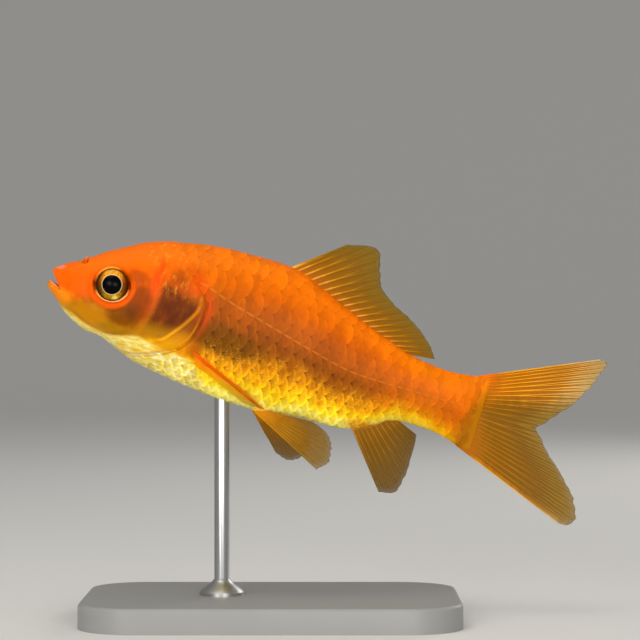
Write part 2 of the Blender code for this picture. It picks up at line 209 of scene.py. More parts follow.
# Distance from the snout, back, belly, half width, level of the widest point.
SECTIONS = (
    (0.0, 1.9, -1.1, 1.7, 0.3),
    (1.6, 3.1, -2.45, 2.6, 0.0),
    (4.0, 4.4, -4.5, 3.6, -0.2),
    (7.5, 6.9, -6.1, 4.7, 0.0),
    (10.2, 8.5, -6.4, 5.3, 0.3),
    (13.0, 10.1, -7.4, 5.8, 0.6),
    (17.0, 11.5, -8.8, 6.3, 0.9),
    (24.0, 12.9, -9.9, 6.8, 1.2),
    (31.0, 13.3, -10.5, 6.7, 1.2),
    (37.0, 13.1, -10.5, 6.2, 0.9),
    (44.0, 10.6, -9.7, 5.2, 0.2),
    (51.0, 7.8, -9.4, 4.0, -0.5),
    (55.0, 6.5, -8.2, 3.4, -0.6),
    (59.0, 5.3, -5.8, 2.8, -0.4),
    (65.0, 4.7, -5.5, 2.0, -0.4),
    (68.5, 4.95, -6.1, 1.35, -0.6),
    (70.6, 5.3, -6.75, 0.75, -0.6),
    (72.6, 5.9, -7.3, 0.0, -0.6),
)
SKIN_END = SECTIONS[-1][0]


def hermite(t, a, b, slope_a, slope_b):
    """A smooth curve from a at t 0 to b at t 1, with these slopes at its ends."""
    return (
        (2 * t**3 - 3 * t**2 + 1) * a
        + (t**3 - 2 * t**2 + t) * slope_a
        + (3 * t**2 - 2 * t**3) * b
        + (t**3 - t**2) * slope_b
    )


def smooth_through(rows, x):
    """The rows of a table whose first column is x, read at x on a smooth curve through them."""
    rows = np.asarray(rows, float)
    x = np.asarray(x, float)
    k = np.clip(np.searchsorted(rows[:, 0], x, side="right") - 1, 0, len(rows) - 2)
    before, a = rows[np.maximum(k - 1, 0)], rows[k]
    b, after = rows[k + 1], rows[np.minimum(k + 2, len(rows) - 1)]
    span = b[..., :1] - a[..., :1]
    t = (x[..., None] - a[..., :1]) / span
    slope_a = (b - before) / (b[..., :1] - before[..., :1])
    slope_b = (after - a) / (after[..., :1] - a[..., :1])
    curve = hermite(t, a, b, span * slope_a, span * slope_b)
    return np.moveaxis(curve[..., 1:], -1, 0)


def swing(x):
    """Sideways place of the backbone."""
    return TAIL_SWING * np.maximum(0.0, (x - SWING_START) / (TAIL_TIP - SWING_START)) ** 2


def powered(value):
    return np.sign(value) * np.abs(value) ** FULLNESS


def on_body(x, angle, lift=0.0):
    """Points of the body's surface. The angle turns from the back over the left side."""
    x, angle = np.broadcast_arrays(np.asarray(x, float), np.asarray(angle, float))
    back, belly, half_width, widest = smooth_through(SECTIONS, x)
    across, up = powered(np.sin(angle)), powered(np.cos(angle))
    height = np.where(up > 0, back - widest, widest - belly)
    point = np.stack((x, swing(x) - half_width * across, widest + height * up), -1)
    out = np.stack((0 * x, -height * across, half_width * up + 1e-6), -1)
    out /= np.linalg.norm(out, axis=-1, keepdims=True)
    return point + np.asarray(lift)[..., None] * out


def to_world(points):
    return points @ TURN.T * MM + SNOUT


def to_fish(points):
    return (points - SNOUT) @ TURN / MM


def step(value, low, high):
    share = np.clip((value - low) / (high - low), 0, 1)
    return share * share * (3 - 2 * share)


def between(value, start, full, fading, end):
    """0 at start and end, and 1 from full to fading."""
    return step(value, start, full) * step(value, end, fading)


def part_way(start, end, share):
    return start + (end - start) * share


def mound(value, width):
    return np.exp(-((value / width) ** 2))


def face_outwards(bm):
    bmesh.ops.recalc_face_normals(bm, faces=bm.faces)
    if bm.calc_volume(signed=True) < 0:
        bmesh.ops.reverse_faces(bm, faces=bm.faces)


def new_piece(name, bm, material, crease=None):
    """An object of a bmesh that is in metres. Faces that meet past the crease stay sharp."""
    mesh = bpy.data.meshes.new(name)
    bm.to_mesh(mesh)
    bm.free()
    mesh.shade_smooth()
    if crease:
        mesh.set_sharp_from_angle(angle=math.radians(crease))
    mesh.materials.append(material)
    piece = bpy.data.objects.new(name, mesh)
    bpy.context.scene.collection.objects.link(piece)
    return piece


def note(piece, name, values, kind="FLOAT"):
    """Keeps a value or a vector for each vertex, for the material to read."""
    store = piece.data.attributes.new(name, kind, "POINT")
    store.data.foreach_set("value" if kind == "FLOAT" else "vector", np.ravel(values))


def points_of(piece):
    flat = np.empty(len(piece.data.vertices) * 3)
    piece.data.vertices.foreach_get("co", flat)
    return to_fish(flat.reshape(-1, 3))


def note_level(piece):
    """Height on the fish, from -1 at the belly to 1 at the back."""
    point = points_of(piece)
    back, belly, _, _ = smooth_through(SECTIONS, np.clip(point[:, 0], 0, SKIN_END))
    note(piece, "level", (2 * point[:, 2] - back - belly) / (back - belly))


def rolled(columns, rows, place, marks=None):
    """A grid rolled into a closed skin. place(turn, row) gives its points in fish axes, and
    marks(turn, row) the named values that the material reads."""
    bm = bmesh.new()
    bmesh.ops.create_grid(bm, x_segments=columns, y_segments=rows, size=1)
    flat = np.array([vertex.co for vertex in bm.verts])
    turn = np.rint((flat[:, 0] + 1) / 2 * columns) % columns / columns
    row = np.rint((flat[:, 1] + 1) / 2 * rows)
    for vertex, point in zip(bm.verts, to_world(place(turn, row))):
        vertex.co = point
    for name, values in (marks(turn, row) if marks else {}).items():
        layer = bm.verts.layers.float.new(name)
        for vertex, value in zip(bm.verts, values):
            vertex[layer] = value
    bmesh.ops.remove_doubles(bm, verts=bm.verts, dist=1e-6)
    face_outwards(bm)
    return bm


def beside(line, x, z):
    """Signed distance from a smooth line drawn on the side of the fish, and the share of it
    that is passed there. The distance is above zero on the tail's side of a line drawn downwards.
    """
    knots = np.column_stack((np.arange(len(line)), line))
    marks = np.linspace(0, len(line) - 1, 8 * (len(line) - 1) + 1)
    line_x, line_z = smooth_through(knots, marks)
    nearest = np.full(x.shape, 1e9)
    share = np.zeros(x.shape)
    for k in range(len(marks) - 1):
        edge = np.array((line_x[k + 1] - line_x[k], line_z[k + 1] - line_z[k]))
        dx, dz = x - line_x[k], z - line_z[k]
        along = np.clip((dx * edge[0] + dz * edge[1]) / (edge @ edge), 0, 1)
        away = np.hypot(dx - along * edge[0], dz - along * edge[1])
        side = np.where(dz * edge[0] - dx * edge[1] > 0, 1.0, -1.0)
        nearer = away < np.abs(nearest)
        nearest = np.where(nearer, side * away, nearest)
        share = np.where(nearer, (k + along) / (len(marks) - 1), share)
    return nearest, share


# Lines of the head, drawn on its side from the top down or from the front back.
CHEEK_EDGE = ((4.6, -3.3), (7.3, -4.7), (9.5, -5.3), (11.7, -5.5), (14.5, -4.4), (15.9, -3.0))
PREOPERCLE = ((14.9, 6.6), (15.5, 5.0), (16.05, 2.5), (16.1, 0.0), (15.9, -2.0), (15.0, -4.0))
COVER_EDGE = ((24.6, 3.4), (24.4, 1.9), (23.2, -0.3), (21.8, -2.2), (20.4, -3.8), (18.6, -4.6))
GILL_SLIT = (
    (19.0, 8.6), (21.2, 7.5), (23.2, 5.8), (24.9, 4.2),
    (25.4, 2.6), (25.2, 0.7), (24.9, -1.0), (24.2, -2.9),
    (22.6, -4.6), (20.0, -6.1), (16.0, -7.4), (12.0, -7.4),
)
THROAT_LINE = (
    (-0.3, -1.7), (1.6, -2.7), (3.2, -3.4), (5.2, -4.0), (7.3, -4.8),
    (9.5, -5.3), (11.7, -5.5), (14.0, -5.0), (16.5, -4.4), (20.0, -5.0),
    (23.5, -5.3), (25.9, -5.8), (27.5, -7.6), (30.0, -10.8),
)
LIP_FOLD = ((1.3, 3.1), (2.4, 1.9), (3.2, 0.3), (3.6, -1.2), (3.3, -2.2))
SCALES_START = (
    (17.0, 12.6), (19.6, 10.2), (22.8, 7.4), (25.6, 4.6), (26.5, 2.0),
    (26.4, -1.0), (25.2, -3.6), (22.6, -6.2), (19.0, -8.2), (15.5, -9.6),
)
SCALE_BED = 0.20  # how much deeper the skin lies under the scales
EYE_OPENING = 3.05
RIM_REACH = 0.14  # points of the skin this near the orbit's rim lie on it
NOSTRIL = (4.85, 1.95, 4.25)
FIN_SOCKET = (25.2, -5.0)  # where the pectoral fin grows from

# Mouth: the crest of the lips at its top, corner and foot, and the throat behind it.
LIP_TOP = (0.07, 1.34)
LIP_CORNER = (2.25, -1.25)
LIP_FOOT = (0.25, -0.12)
LIP_HALF_WIDTH = 1.95
LIP_TO_FACE = 1.7  # how far behind the crest the plain face starts
THROAT = (5.0, -1.4)

# How the lip rolls over its crest: distance back and outwards at its top, corner and foot.
LIP_ROLL = (
    (0.34, (1.60, -0.70), (0.90, -0.30), (1.60, 1.00)),
    (0.50, (0.60, -0.42), (0.40, -0.22), (0.85, 0.62)),
    (0.59, (0.12, -0.20), (0.10, -0.14), (0.32, 0.12)),
    (0.65, (-0.02, 0.00), (-0.02, 0.00), (0.02, -0.02)),
    (0.71, (-0.06, 0.14), (-0.05, 0.16), (-0.33, 0.16)),
    (0.77, (0.03, 0.42), (0.05, 0.36), (-0.48, 0.54)),
    (0.84, (0.32, 0.80), (0.32, 0.58), (-0.32, 0.98)),
    (0.92, (0.90, 1.18), (0.90, 0.72), (0.20, 1.52)),
)

SKIN_COLUMNS = 200
MOUTH_ROWS = 40
HEAD_ROWS = 132
TRUNK_ROWS = 120
HEAD_END = 27.0


def lip_crest(angle):
    up, across = np.cos(angle), np.sin(angle)
    edge = np.where(up[..., None] > 0, LIP_TOP, LIP_FOOT)
    x = part_way(LIP_CORNER[0], edge[..., 0], np.abs(up) ** 1.3)
    z = part_way(LIP_CORNER[1], edge[..., 1], np.abs(up))
    return np.stack((x, -LIP_HALF_WIDTH * across, z), -1)


def mouth_point(angle, share):
    """From the throat at share 0, round the lip, to the face at share 1."""
    crest = lip_crest(angle)
    outwards = np.stack((0 * angle, -np.sin(angle), np.cos(angle)), -1)
    back = np.array((1.0, 0, 0))
    up = np.cos(angle)[..., None]
    marks, path = [0.0], [np.array((THROAT[0], 0, THROAT[1])) + 0 * crest]
    for mark, top, corner, foot in LIP_ROLL:
        middle = np.where(up > 0, top, foot)
        offset = part_way(np.array(corner), middle, np.abs(up))
        path.append(crest + offset[..., :1] * back + offset[..., 1:] * outwards)
        marks.append(mark)
    path.append(on_body(crest[..., 0] + LIP_TO_FACE, angle))
    marks.append(1.0)
    point = np.zeros(crest.shape)
    for k in range(len(path) - 1):
        here = (share >= marks[k]) & (share <= marks[k + 1])
        t = np.clip((share - marks[k]) / (marks[k + 1] - marks[k]), 0, 1)[..., None]
        a, b = path[k], path[k + 1]
        before, after = path[max(k - 1, 0)], path[min(k + 2, len(path) - 1)]
        curve = hermite(t, a, b, (b - before) / 2, (after - a) / 2)
        point = np.where(here[..., None], curve, point)
    return point


def eye_distance(x, z):
    """From the middle of the orbit, whose opening is a little wider than it is high."""
    return np.hypot(x - EYE[0], (z - EYE[1]) * 1.05)


def body_angle(x, level):
    """The angle at which the left side of the body has this level."""
    back, belly, _, widest = smooth_through(SECTIONS, x)
    height = np.where(level > widest, back - widest, widest - belly)
    share = np.clip((level - widest) / height, -1, 1)
    return np.arccos(np.sign(share) * np.abs(share) ** (1 / FULLNESS))


def drawn_to_orbit(x, angle):
    """Moves the points nearest the orbit's rim onto it, so that the rim is a clean oval."""
    plain = on_body(x, angle)
    away = eye_distance(plain[..., 0], plain[..., 2])
    near = np.abs(away - EYE_OPENING) < RIM_REACH
    pull = np.where(near, EYE_OPENING / np.maximum(away, RIM_REACH), 1.0)
    new_x = part_way(EYE[0], plain[..., 0], pull)
    new_angle = body_angle(new_x, part_way(EYE[1], plain[..., 2], pull))
    new_angle = np.where(np.sin(angle) < 0, 2 * np.pi - new_angle, new_angle)
    return np.where(near, new_x, x), np.where(near, new_angle, angle)


def head_relief(point):
    """How far folds, bones and the orbit stand out of the plain body."""
    x, y, z = point[..., 0], np.abs(point[..., 1] - swing(point[..., 0])), point[..., 2]
    sideways = step(y, 1.2, 3.0)
    high = np.zeros(x.shape)

    slit, slit_share = beside(GILL_SLIT, x, z)
    held = between(slit_share, 0.0, 0.12, 0.9, 1.0)
    flap = 0.26 * np.exp(np.minimum(slit, 0) / 2.6) * step(slit, 0.22, -0.22)
    crevice = 0.16 * mound(slit - 0.35, 0.30)
    high += (flap - crevice) * held * sideways

    edge, edge_share = beside(COVER_EDGE, x, z)
    held = between(edge_share, 0.0, 0.1, 0.85, 1.0)
    lip = 0.16 * np.exp(np.minimum(edge, 0) / 1.2) * step(edge, 0.2, -0.2)
    high += (lip - 0.08 * mound(edge - 0.35, 0.3)) * held * sideways

    bone, bone_share = beside(PREOPERCLE, x, z)
    held = between(bone_share, 0.0, 0.25, 0.8, 1.0)
    high += (0.12 * mound(bone + 0.3, 0.5) - 0.12 * mound(bone - 0.4, 0.4)) * held * sideways

    cheek, cheek_share = beside(CHEEK_EDGE, x, z)
    held = between(cheek_share, 0.0, 0.12, 0.88, 1.0)
    high += (0.10 * mound(cheek - 0.4, 0.4) - 0.16 * mound(cheek + 0.25, 0.3)) * held * sideways

    fold, fold_share = beside(LIP_FOLD, x, z)
    high -= 0.10 * mound(fold, 0.30) * between(fold_share, 0.0, 0.2, 0.8, 1.0)

    for k in range(3):
        ray = slit + 0.9 + 0.8 * k
        high += 0.07 * mound(ray, 0.28) * between(slit_share, 0.55, 0.7, 0.93, 1)

    away = eye_distance(x, z)
    ring = np.maximum(away - EYE_OPENING, 0)
    high += (0.16 * mound(ring - 0.45, 0.30) - 0.42 * np.exp(-ring / 0.35)) * sideways
    below = step(2.5 - z, -2.0, 1.0)
    high -= 0.10 * mound(away - 4.4, 0.4) * below * sideways
    high -= 2.2 * step(away, EYE_OPENING - 0.01, EYE_OPENING - 0.25) * sideways

    pit = np.sqrt((x - NOSTRIL[0]) ** 2 + (y - NOSTRIL[1]) ** 2 + (z - NOSTRIL[2]) ** 2)
    high -= 0.5 * mound(pit, 0.38)
    high += 0.10 * mound(pit - 0.8, 0.25)

    socket = np.hypot((x - FIN_SOCKET[0]) / 1.3, (z - FIN_SOCKET[1]) / 1.7)
    high += 0.35 * mound(socket, 1.0) * sideways
    return high


def bed_depth(x, z):
    start, _ = beside(SCALES_START, x, z)
    return SCALE_BED * step(start, -0.5, 0.9) + 0.02


def skin_place(turn, row):
    angle = 2 * np.pi * turn
    share = row / MOUTH_ROWS
    mouth = mouth_point(angle, np.clip(share, 0, 1))
    face_start = lip_crest(angle)[..., 0] + LIP_TO_FACE
    head_share = np.clip((row - MOUTH_ROWS) / HEAD_ROWS, 0, 1)
    trunk_share = np.clip((row - MOUTH_ROWS - HEAD_ROWS) / TRUNK_ROWS, 0, 1)
    x = part_way(face_start, HEAD_END, head_share)
    x = x + (SKIN_END - HEAD_END) * trunk_share
    x, angle = drawn_to_orbit(x, angle)
    plain = on_body(x, angle)
    lift = head_relief(plain) - bed_depth(plain[..., 0], plain[..., 2])
    lift *= step(head_share, 0, 0.02) * step(x, SKIN_END, SKIN_END - 2.0)
    body = on_body(x, angle, lift)
    return np.where((row <= MOUTH_ROWS)[..., None], mouth, body)


def note_head(piece):
    """Distances from the lines that shaped the head, for its own markings."""
    point = points_of(piece)
    x, z = point[:, 0], point[:, 2]
    note(piece, "throat_line", np.clip(beside(THROAT_LINE, x, z)[0], -9, 9))
    slit, slit_share = beside(GILL_SLIT, x, z)
    note(piece, "slit", np.clip(slit, -9, 9))
    note(piece, "slit_held", between(slit_share, 0.02, 0.2, 0.85, 1.0))
    note(piece, "slit_low", between(slit_share, 0.35, 0.55, 0.85, 1.0))
    edge, edge_share = beside(COVER_EDGE, x, z)
    note(piece, "cover_edge", np.clip(edge, -9, 9))
    note(piece, "cover_held", between(edge_share, 0.0, 0.12, 0.8, 1.0))
    note(piece, "bone", np.clip(beside(PREOPERCLE, x, z)[0], -9, 9))
    mouth = step(np.hypot(point[:, 1], z + 0.9), 2.2, 1.2) * between(x, 1.2, 2.0, 5.2, 6.0)
    note(piece, "mouth", mouth)


def reckon(operation, *values):
    return add("Math", *values, operation=operation)


def times_plus(value, factor, offset):
    return reckon("MULTIPLY_ADD", value, factor, offset)


def centred(value):
    """A noise from 0 to 1, moved to lie about 0."""
    return reckon("SUBTRACT", value, 0.5)


def distance(first, second):
    node = new_node(first.id_data, "VectorMath", first, second, operation="DISTANCE")
    return node.outputs["Value"]


def rise(value, low, high):
    """A smooth step from 0 at low to 1 at high. low may be the larger of the two."""
    if low > high:
        return reckon("SUBTRACT", 1.0, rise(value, high, low))
    return add("MapRange", value, low, high, 0.0, 1.0, interpolation_type="SMOOTHSTEP")


def times(*values):
    product = values[0]
    for value in values[1:]:
        product = reckon("MULTIPLY", product, value)
    return product


def band(value, middle, half):
    """1 where the value is at the middle, falling to 0 at half a width either side."""
    away = reckon("ABSOLUTE", reckon("SUBTRACT", value, middle))
    return rise(away, half, 0.0)


def ramp(value, stops):
    """Colours along a value, as (position, colour) pairs."""
    node = new_node(value.id_data, "ValToRGB", value)
    marks = node.color_ramp.elements
    while len(marks) < len(stops):
        marks.new(0.5)
    for mark, (position, code) in zip(marks, stops):
        mark.position = position
        mark.color = paint(code)
    return node.outputs[0]


def read(tree, name):
    """A value that the piece keeps for each vertex."""
    return new_node(tree, "Attribute", attribute_name=name).outputs["Fac"]


def parts_of(place):
    """The x, y and z of a place."""
    return new_node(place.id_data, "SeparateXYZ", place).outputs


def stretched(place, scale, slant=0):
    """A place on which noise is drawn out, and leans by the slant in degrees."""
    return add("Mapping", place, (0, 0, 0), (0, math.radians(slant), 0), scale)


def recolour(colour, value, hue=0.5):
    node = new_node(colour.id_data, "HueSaturation")
    place_socket(node, (("Hue", hue), ("Value", value), ("Color", colour)))
    return node.outputs[0]


def new_group(name, inputs, outputs):
    """A node group with these sockets, as names and kinds. Returns it and its two ends."""
    tree = bpy.data.node_groups.new(name, "ShaderNodeTree")
    for way, sockets in (("INPUT", inputs), ("OUTPUT", outputs)):
        for socket, kind in sockets:
            tree.interface.new_socket(socket, in_out=way, socket_type="NodeSocket" + kind)
    return tree, tree.nodes.new("NodeGroupInput").outputs, tree.nodes.new("NodeGroupOutput").inputs


def relief(shader, height, depth):
    """Bumps as high as the depth, in metres."""
    tree = shader.id_data
    bump = new_node(tree, "Bump")
    place_socket(bump, (("Strength", 1.0), ("Distance", depth), ("Height", height)))
    tree.links.new(bump.outputs[0], shader.inputs["Normal"])


# Colours from the belly, at 0, to the back, at 1, and softly blended along the fish.
FLANK_STOPS = (
    (0.03, "ffec70"), (0.09, "ffda2a"), (0.15, "fcc40a"), (0.21, "ee9c04"), (0.29, "ce7a04"),
    (0.37, "9c5203"), (0.46, "8c4202"), (0.55, "a84c02"), (0.65, "b85202"), (0.77, "d85e02"),
    (0.90, "f37003"),
)
PEDUNCLE_STOPS = (
    (0.04, "ecc034"), (0.13, "f6b810"), (0.22, "e48a03"), (0.34, "d66901"), (0.50, "cc5c01"),
    (0.66, "e86901"), (0.85, "ee7201"),
)
FACE_STOPS = (
    (0.05, "dca030"), (0.14, "c48a10"), (0.24, "b87408"), (0.36, "b45e04"), (0.46, "d05803"),
    (0.60, "ef5c01"), (0.80, "fb6a01"), (0.96, "f46c06"),
)
# Soft-edged spots: middle, half length and height, colour and strength, each over the last.
MARKINGS = (
    ((30.0, -1.4), (6.5, 2.6), "6e3c03", 0.85),  # dark middle of the flank
    ((3.4, 0.9), (4.4, 3.0), "fd6001", 0.9),  # snout
    ((2.2, -1.9), (3.4, 1.3), "fb8c12", 0.85),  # lower jaw
    ((0.9, 2.5), (1.1, 0.5), "ff9478", 0.6),  # pink upper lip, its light pink partly a painted highlight
    ((7.6, -3.4), (3.8, 1.8), "c47c06", 0.85),  # cheek below the eye
    ((15.0, 1.2), (2.0, 3.8), "883a03", 0.85),  # dark cheek behind the eye
    ((15.3, -1.0), (1.4, 1.8), "743803", 0.70),
    ((16.4, 0.6), (1.0, 2.6), "9a3c03", 0.70),
    ((14.0, 4.4), (1.9, 1.3), "b04803", 0.80),
    # painted shade under the rim of the eye
    ((13.2, -2.4), (3.0, 2.0), "6c3202", 0.75),
    ((12.4, -4.6), (3.2, 0.9), "a87008", 0.85),  # golden foot of the cheek
    ((17.0, 5.2), (1.1, 3.4), "e24a02", 0.85),  # red streak down the gill cover's front
    ((20.8, 5.2), (2.0, 2.0), "b44402", 0.7),  # dull top of the gill cover
    ((20.3, 6.4), (1.0, 1.3), "9c4406", 0.5),
    ((25.6, -4.2), (1.4, 1.2), "b45203", 0.7),  # root of the pectoral fin
    ((23.2, 6.0), (1.5, 2.0), "e65202", 0.6),  # top of the gill opening
    ((54.8, -8.0), (2.9, 1.3), "da8408", 0.85),  # vent
)


def flank_colours():
    """Group: the goldfish's own colours and their gold shine, from the place on the fish."""
    tree, ins, outs = new_group(
        "goldfish_colours",
        (("Place", "Vector"), ("Level", "Float")),
        (("Colour", "Color"), ("Gold", "Float"), ("Fish Place", "Vector")),
    )
    scale = (MM, MM, MM)
    place = add("Mapping", ins[0], SNOUT, (0, PITCH, 0), scale, vector_type="TEXTURE")
    along, _, height = parts_of(place)

    drift = centred(noise(place, 0.45, 3.0))
    fine = centred(noise(place, 1.6, 2.0))
    level = times_plus(drift, 0.30, ins[1])
    level = times_plus(fine, 0.16, level)
    bars = centred(noise(stretched(place, (1.0, 1.0, 0.3)), 0.75, 2.0))
    level = times_plus(bars, 0.30, level)
    share = times_plus(level, 0.5, 0.5)
    flank = ramp(share, FLANK_STOPS)
    thinner = times_plus(rise(along, 63.0, 70.0), 0.14, share)
    peduncle = ramp(thinner, PEDUNCLE_STOPS)
    colour = blend(rise(along, 50.0, 63.0), flank, peduncle)
    root = times_plus(height, -0.35, along)
    root = times_plus(drift, 2.0, root)
    colour = blend(rise(root, 69.3, 72.3), colour, "aa6204")
    face = ramp(share, FACE_STOPS)
    colour = blend(rise(along, 21.0, 15.0), colour, face)

    for (x, z), (half_length, half_height), code, strength in MARKINGS:
        squash = (1 / half_length, 0.0, 1 / half_height)
        squashed = add("VectorMath", place, squash, operation="MULTIPLY")
        far = distance(squashed, (x * squash[0], 0.0, z * squash[2]))
        far = times_plus(drift, 0.9, far)
        colour = blend(times(rise(far, 1.25, 0.45), strength), colour, code)

    gold = times(rise(level, -0.15, -0.55), rise(along, 16.0, 24.0), rise(along, 66.0, 52.0))
    for socket, result in zip(outs, (colour, gold, place)):
        tree.links.new(result, socket)
    return tree


GOLDFISH_COLOURS = flank_colours()


def use_colours(tree):
    """The goldfish's colours in a material: colour, gold and the place in fish axes."""
    level = read(tree, "level")
    return new_node(tree, "Group", object_place(tree), level, node_tree=GOLDFISH_COLOURS).outputs


def wet_flesh(shader, roughness, depth):
    shader.inputs["Roughness"].default_value = roughness
    shader.inputs["Specular IOR Level"].default_value = 0.05
    shader.inputs["Subsurface Weight"].default_value = 0.10
    shader.inputs["Subsurface Radius"].default_value = (1.0, 0.35, 0.08)
    shader.inputs["Subsurface Scale"].default_value = depth


def paint_breast(tree, colour, place):
    """The pale silvery throat and breast, and the red-orange rim behind the gill opening."""
    _, _, up = parts_of(place)
    slit = read(tree, "slit")
    behind = times(rise(slit, 0.1, 0.4), rise(slit, 2.2, 0.6), 0.65)
    behind = times(behind, read(tree, "slit_held"), rise(up, -3.5, 2.5))
    colour = blend(behind, colour, "d84a02")
    flake = noise(stretched(place, (0.7, 1.0, 1.9), -25), 0.95, 4.0, 0.62)
    cream = ramp(flake, ((0.30, "dcac28"), (0.44, "efcc50"), (0.55, "f5e284"), (0.70, "fcf4c4")))
    edge = times_plus(centred(flake), 0.8, read(tree, "throat_line"))
    return blend(times(rise(edge, 0.1, -0.5), 0.92), colour, cream)


# Colours of the gill cover's rear flap, from its foot up.
COVER_STOPS = (
    (0.10, "dc9a06"), (0.25, "c87c08"), (0.38, "8e4c03"), (0.51, "8a3a02"), (0.70, "a84004"),
    (0.93, "cc4e05"),
)


def skin_finish():
    material, tree, shader = new_material("skin")
    colour, _, place = use_colours(tree)
    along, across, up = parts_of(place)
    edge, slit, bone = read(tree, "cover_edge"), read(tree, "slit"), read(tree, "bone")

    # The dark patch behind the cheek, where the gills show through the cover.
    wobble = centred(noise(place, 2.2, 4.0, 0.6))
    slope = times_plus(along, 0.30, up)
    slope = times_plus(wobble, 1.5, slope)
    front = times_plus(up, -0.15, bone)
    inside = times(
        rise(times_plus(wobble, 1.0, front), 1.1, 2.3),
        rise(edge, -0.1, -0.6),
        rise(slope, 11.2, 9.2),
        rise(up, -5.0, -3.2),
    )
    slanted = stretched(place, (1.0, 1.0, 0.5), 35)
    window = ramp(noise(slanted, 0.8), ((0.35, "562000"), (0.50, "642800"), (0.70, "843a03")))
    window = blend(rise(up, -0.8, -3.4), window, "a87006")
    colour = blend(times(inside, 0.92), colour, window)
    colour = paint_breast(tree, colour, place)

    # The orange skin round the foot of the eye, and the lighter skin under the scales.
    from_eye = distance(add("CombineXYZ", along, 0.0, up), (EYE[0], 0.0, EYE[1]))
    lid = times(rise(from_eye, 4.15, 3.55), rise(up, 4.0, 2.0), 0.85)
    colour = blend(lid, colour, "f05a04")
    bare = recolour(colour, 1.12, 0.508)
    colour = blend(rise(along, 28.0, 40.0), colour, bare)

    # The gill cover: its soft rear flap, its bright edge, the rim of the slit, and painted shade in the
    # crease behind the slit.
    flap = ramp(times_plus(up, 0.1, 0.5), COVER_STOPS)
    outer = times(rise(edge, 0.1, 0.6), rise(slit, 0.1, -0.3), 0.8)
    colour = blend(times(outer, read(tree, "cover_held")), colour, flap)
    lit = blend(rise(up, -2.6, -0.4), "f6b41a", "d0820e")
    shine = times(band(edge, 0.0, 0.42), read(tree, "cover_held"), 0.85)
    colour = blend(shine, colour, lit)
    held = read(tree, "slit_held")
    rim = times(band(slit, -0.12, 0.28), read(tree, "slit_low"), 0.5)
    colour = blend(rim, colour, "f29a1a")
    # Painted shade in the crease behind the slit.
    crease = times(band(slit, 0.42, 0.30), held, 0.45)
    colour = blend(crease, colour, "8a3002")

    # Painted highlights: golden glints on the cover. Then painted shade in the nostrils, a pale rim
    # on the lips that is partly their own pink and partly a painted highlight, and the lining of the
    # mouth.
    # Painted highlights: golden glints on the cover.
    bright = noise(slanted, 1.5, 3.0)
    painted_glint = times(rise(bright, 0.50, 0.78), rise(bone, 0.2, 2.2), 0.5)
    ahead = reckon("MAXIMUM", rise(slit, 1.0, -1.2), rise(held, 0.5, 0.0))
    painted_glint = times(painted_glint, ahead, rise(up, 2.0, 4.5))
    colour = blend(painted_glint, colour, "f8a428")
    sideways = reckon("ABSOLUTE", across)
    nostril = distance(add("CombineXYZ", along, sideways, up), NOSTRIL)
    # Painted shade in the pits of the nostrils.
    colour = blend(times(rise(nostril, 0.75, 0.25), 0.8), colour, "7e2802")
    # The pale rim of the lips: partly their own pale pink, partly a painted highlight.
    colour = blend(times(read(tree, "lip"), 0.6), colour, "ffb276")
    colour = blend(read(tree, "mouth"), colour, "8e3410")
    tree.links.new(colour, shader.inputs["Base Color"])
    wet_flesh(shader, 0.40, 0.0010)
    relief(shader, noise(place, 5.0, 3.0), 0.00002)
    return material


# The pale rim along the lips' crest, partly their own pink and partly a painted highlight.
def pale_lip_rim_and_highlight(turn, row):
    return {"lip": mound(row / MOUTH_ROWS - 0.67, 0.045)}


skin_rows = MOUTH_ROWS + HEAD_ROWS + TRUNK_ROWS
skin_form = rolled(SKIN_COLUMNS, skin_rows, skin_place, pale_lip_rim_and_highlight)
skin = new_piece("skin", skin_form, skin_finish())
note_level(skin)
note_head(skin)
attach(skin, "root")
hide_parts("head", "lower_jaw", "gill_cover_left", "gill_cover_right", "trunk", "tail")


# Scales. Thin horn-like plates in rows that run along the lateral line, each rooted in the skin
# and lying over the ones behind it. Their shine comes from a silvery layer under the pigment,
# and from flakes of gold painted on as highlights.

LATERAL_LINE = (
    (14.0, 8.2), (24.0, 6.4), (29.4, 4.8), (35.0, 3.4),
    (42.8, 1.5), (50.0, 0.0), (56.0, -0.2), (74.0, 0.1),
)
SCALE_LENGTH = 1.27  # of a scale, as a share of the step between scales
SCALE_THICKNESS = 0.035
SCALE_HALF_WIDTH = 1.03  # as a share of the distance between rows
TIP_ROUNDING = 0.66  # depth of the tip's arc, as a share of the step
SIDE_DROP = 0.05  # how much lower a scale's sides lie than its middle
TIP_SCATTER = 0.035  # how unevenly the tips fall in their rows
TILT_SCATTER = 0.010
CANAL_HEIGHT = 0.04  # of the ridge on the lateral line's scales
ROOT_LIFT = -0.16
TIP_LIFT = -0.05
FIRST_SCALE = 15.0
LAST_SCALE = 71.7
SCALE_MIDDLE = 0.6  # how far ahead of its tip a scale's middle is
NEAR_MIDLINE = 0.015  # no scale has its middle within this angle of the back or the belly
BAKE_SIZE = 0.003  # of one scale on its map


def scale_step(x):
    return 1.66 - 0.22 * step(x, 45, 64) - 0.3 * step(x, 65, 71)


def row_height(x):
    return 1.95 - 0.42 * step(x, 38, 62) - 0.3 * step(x, 64, 72)


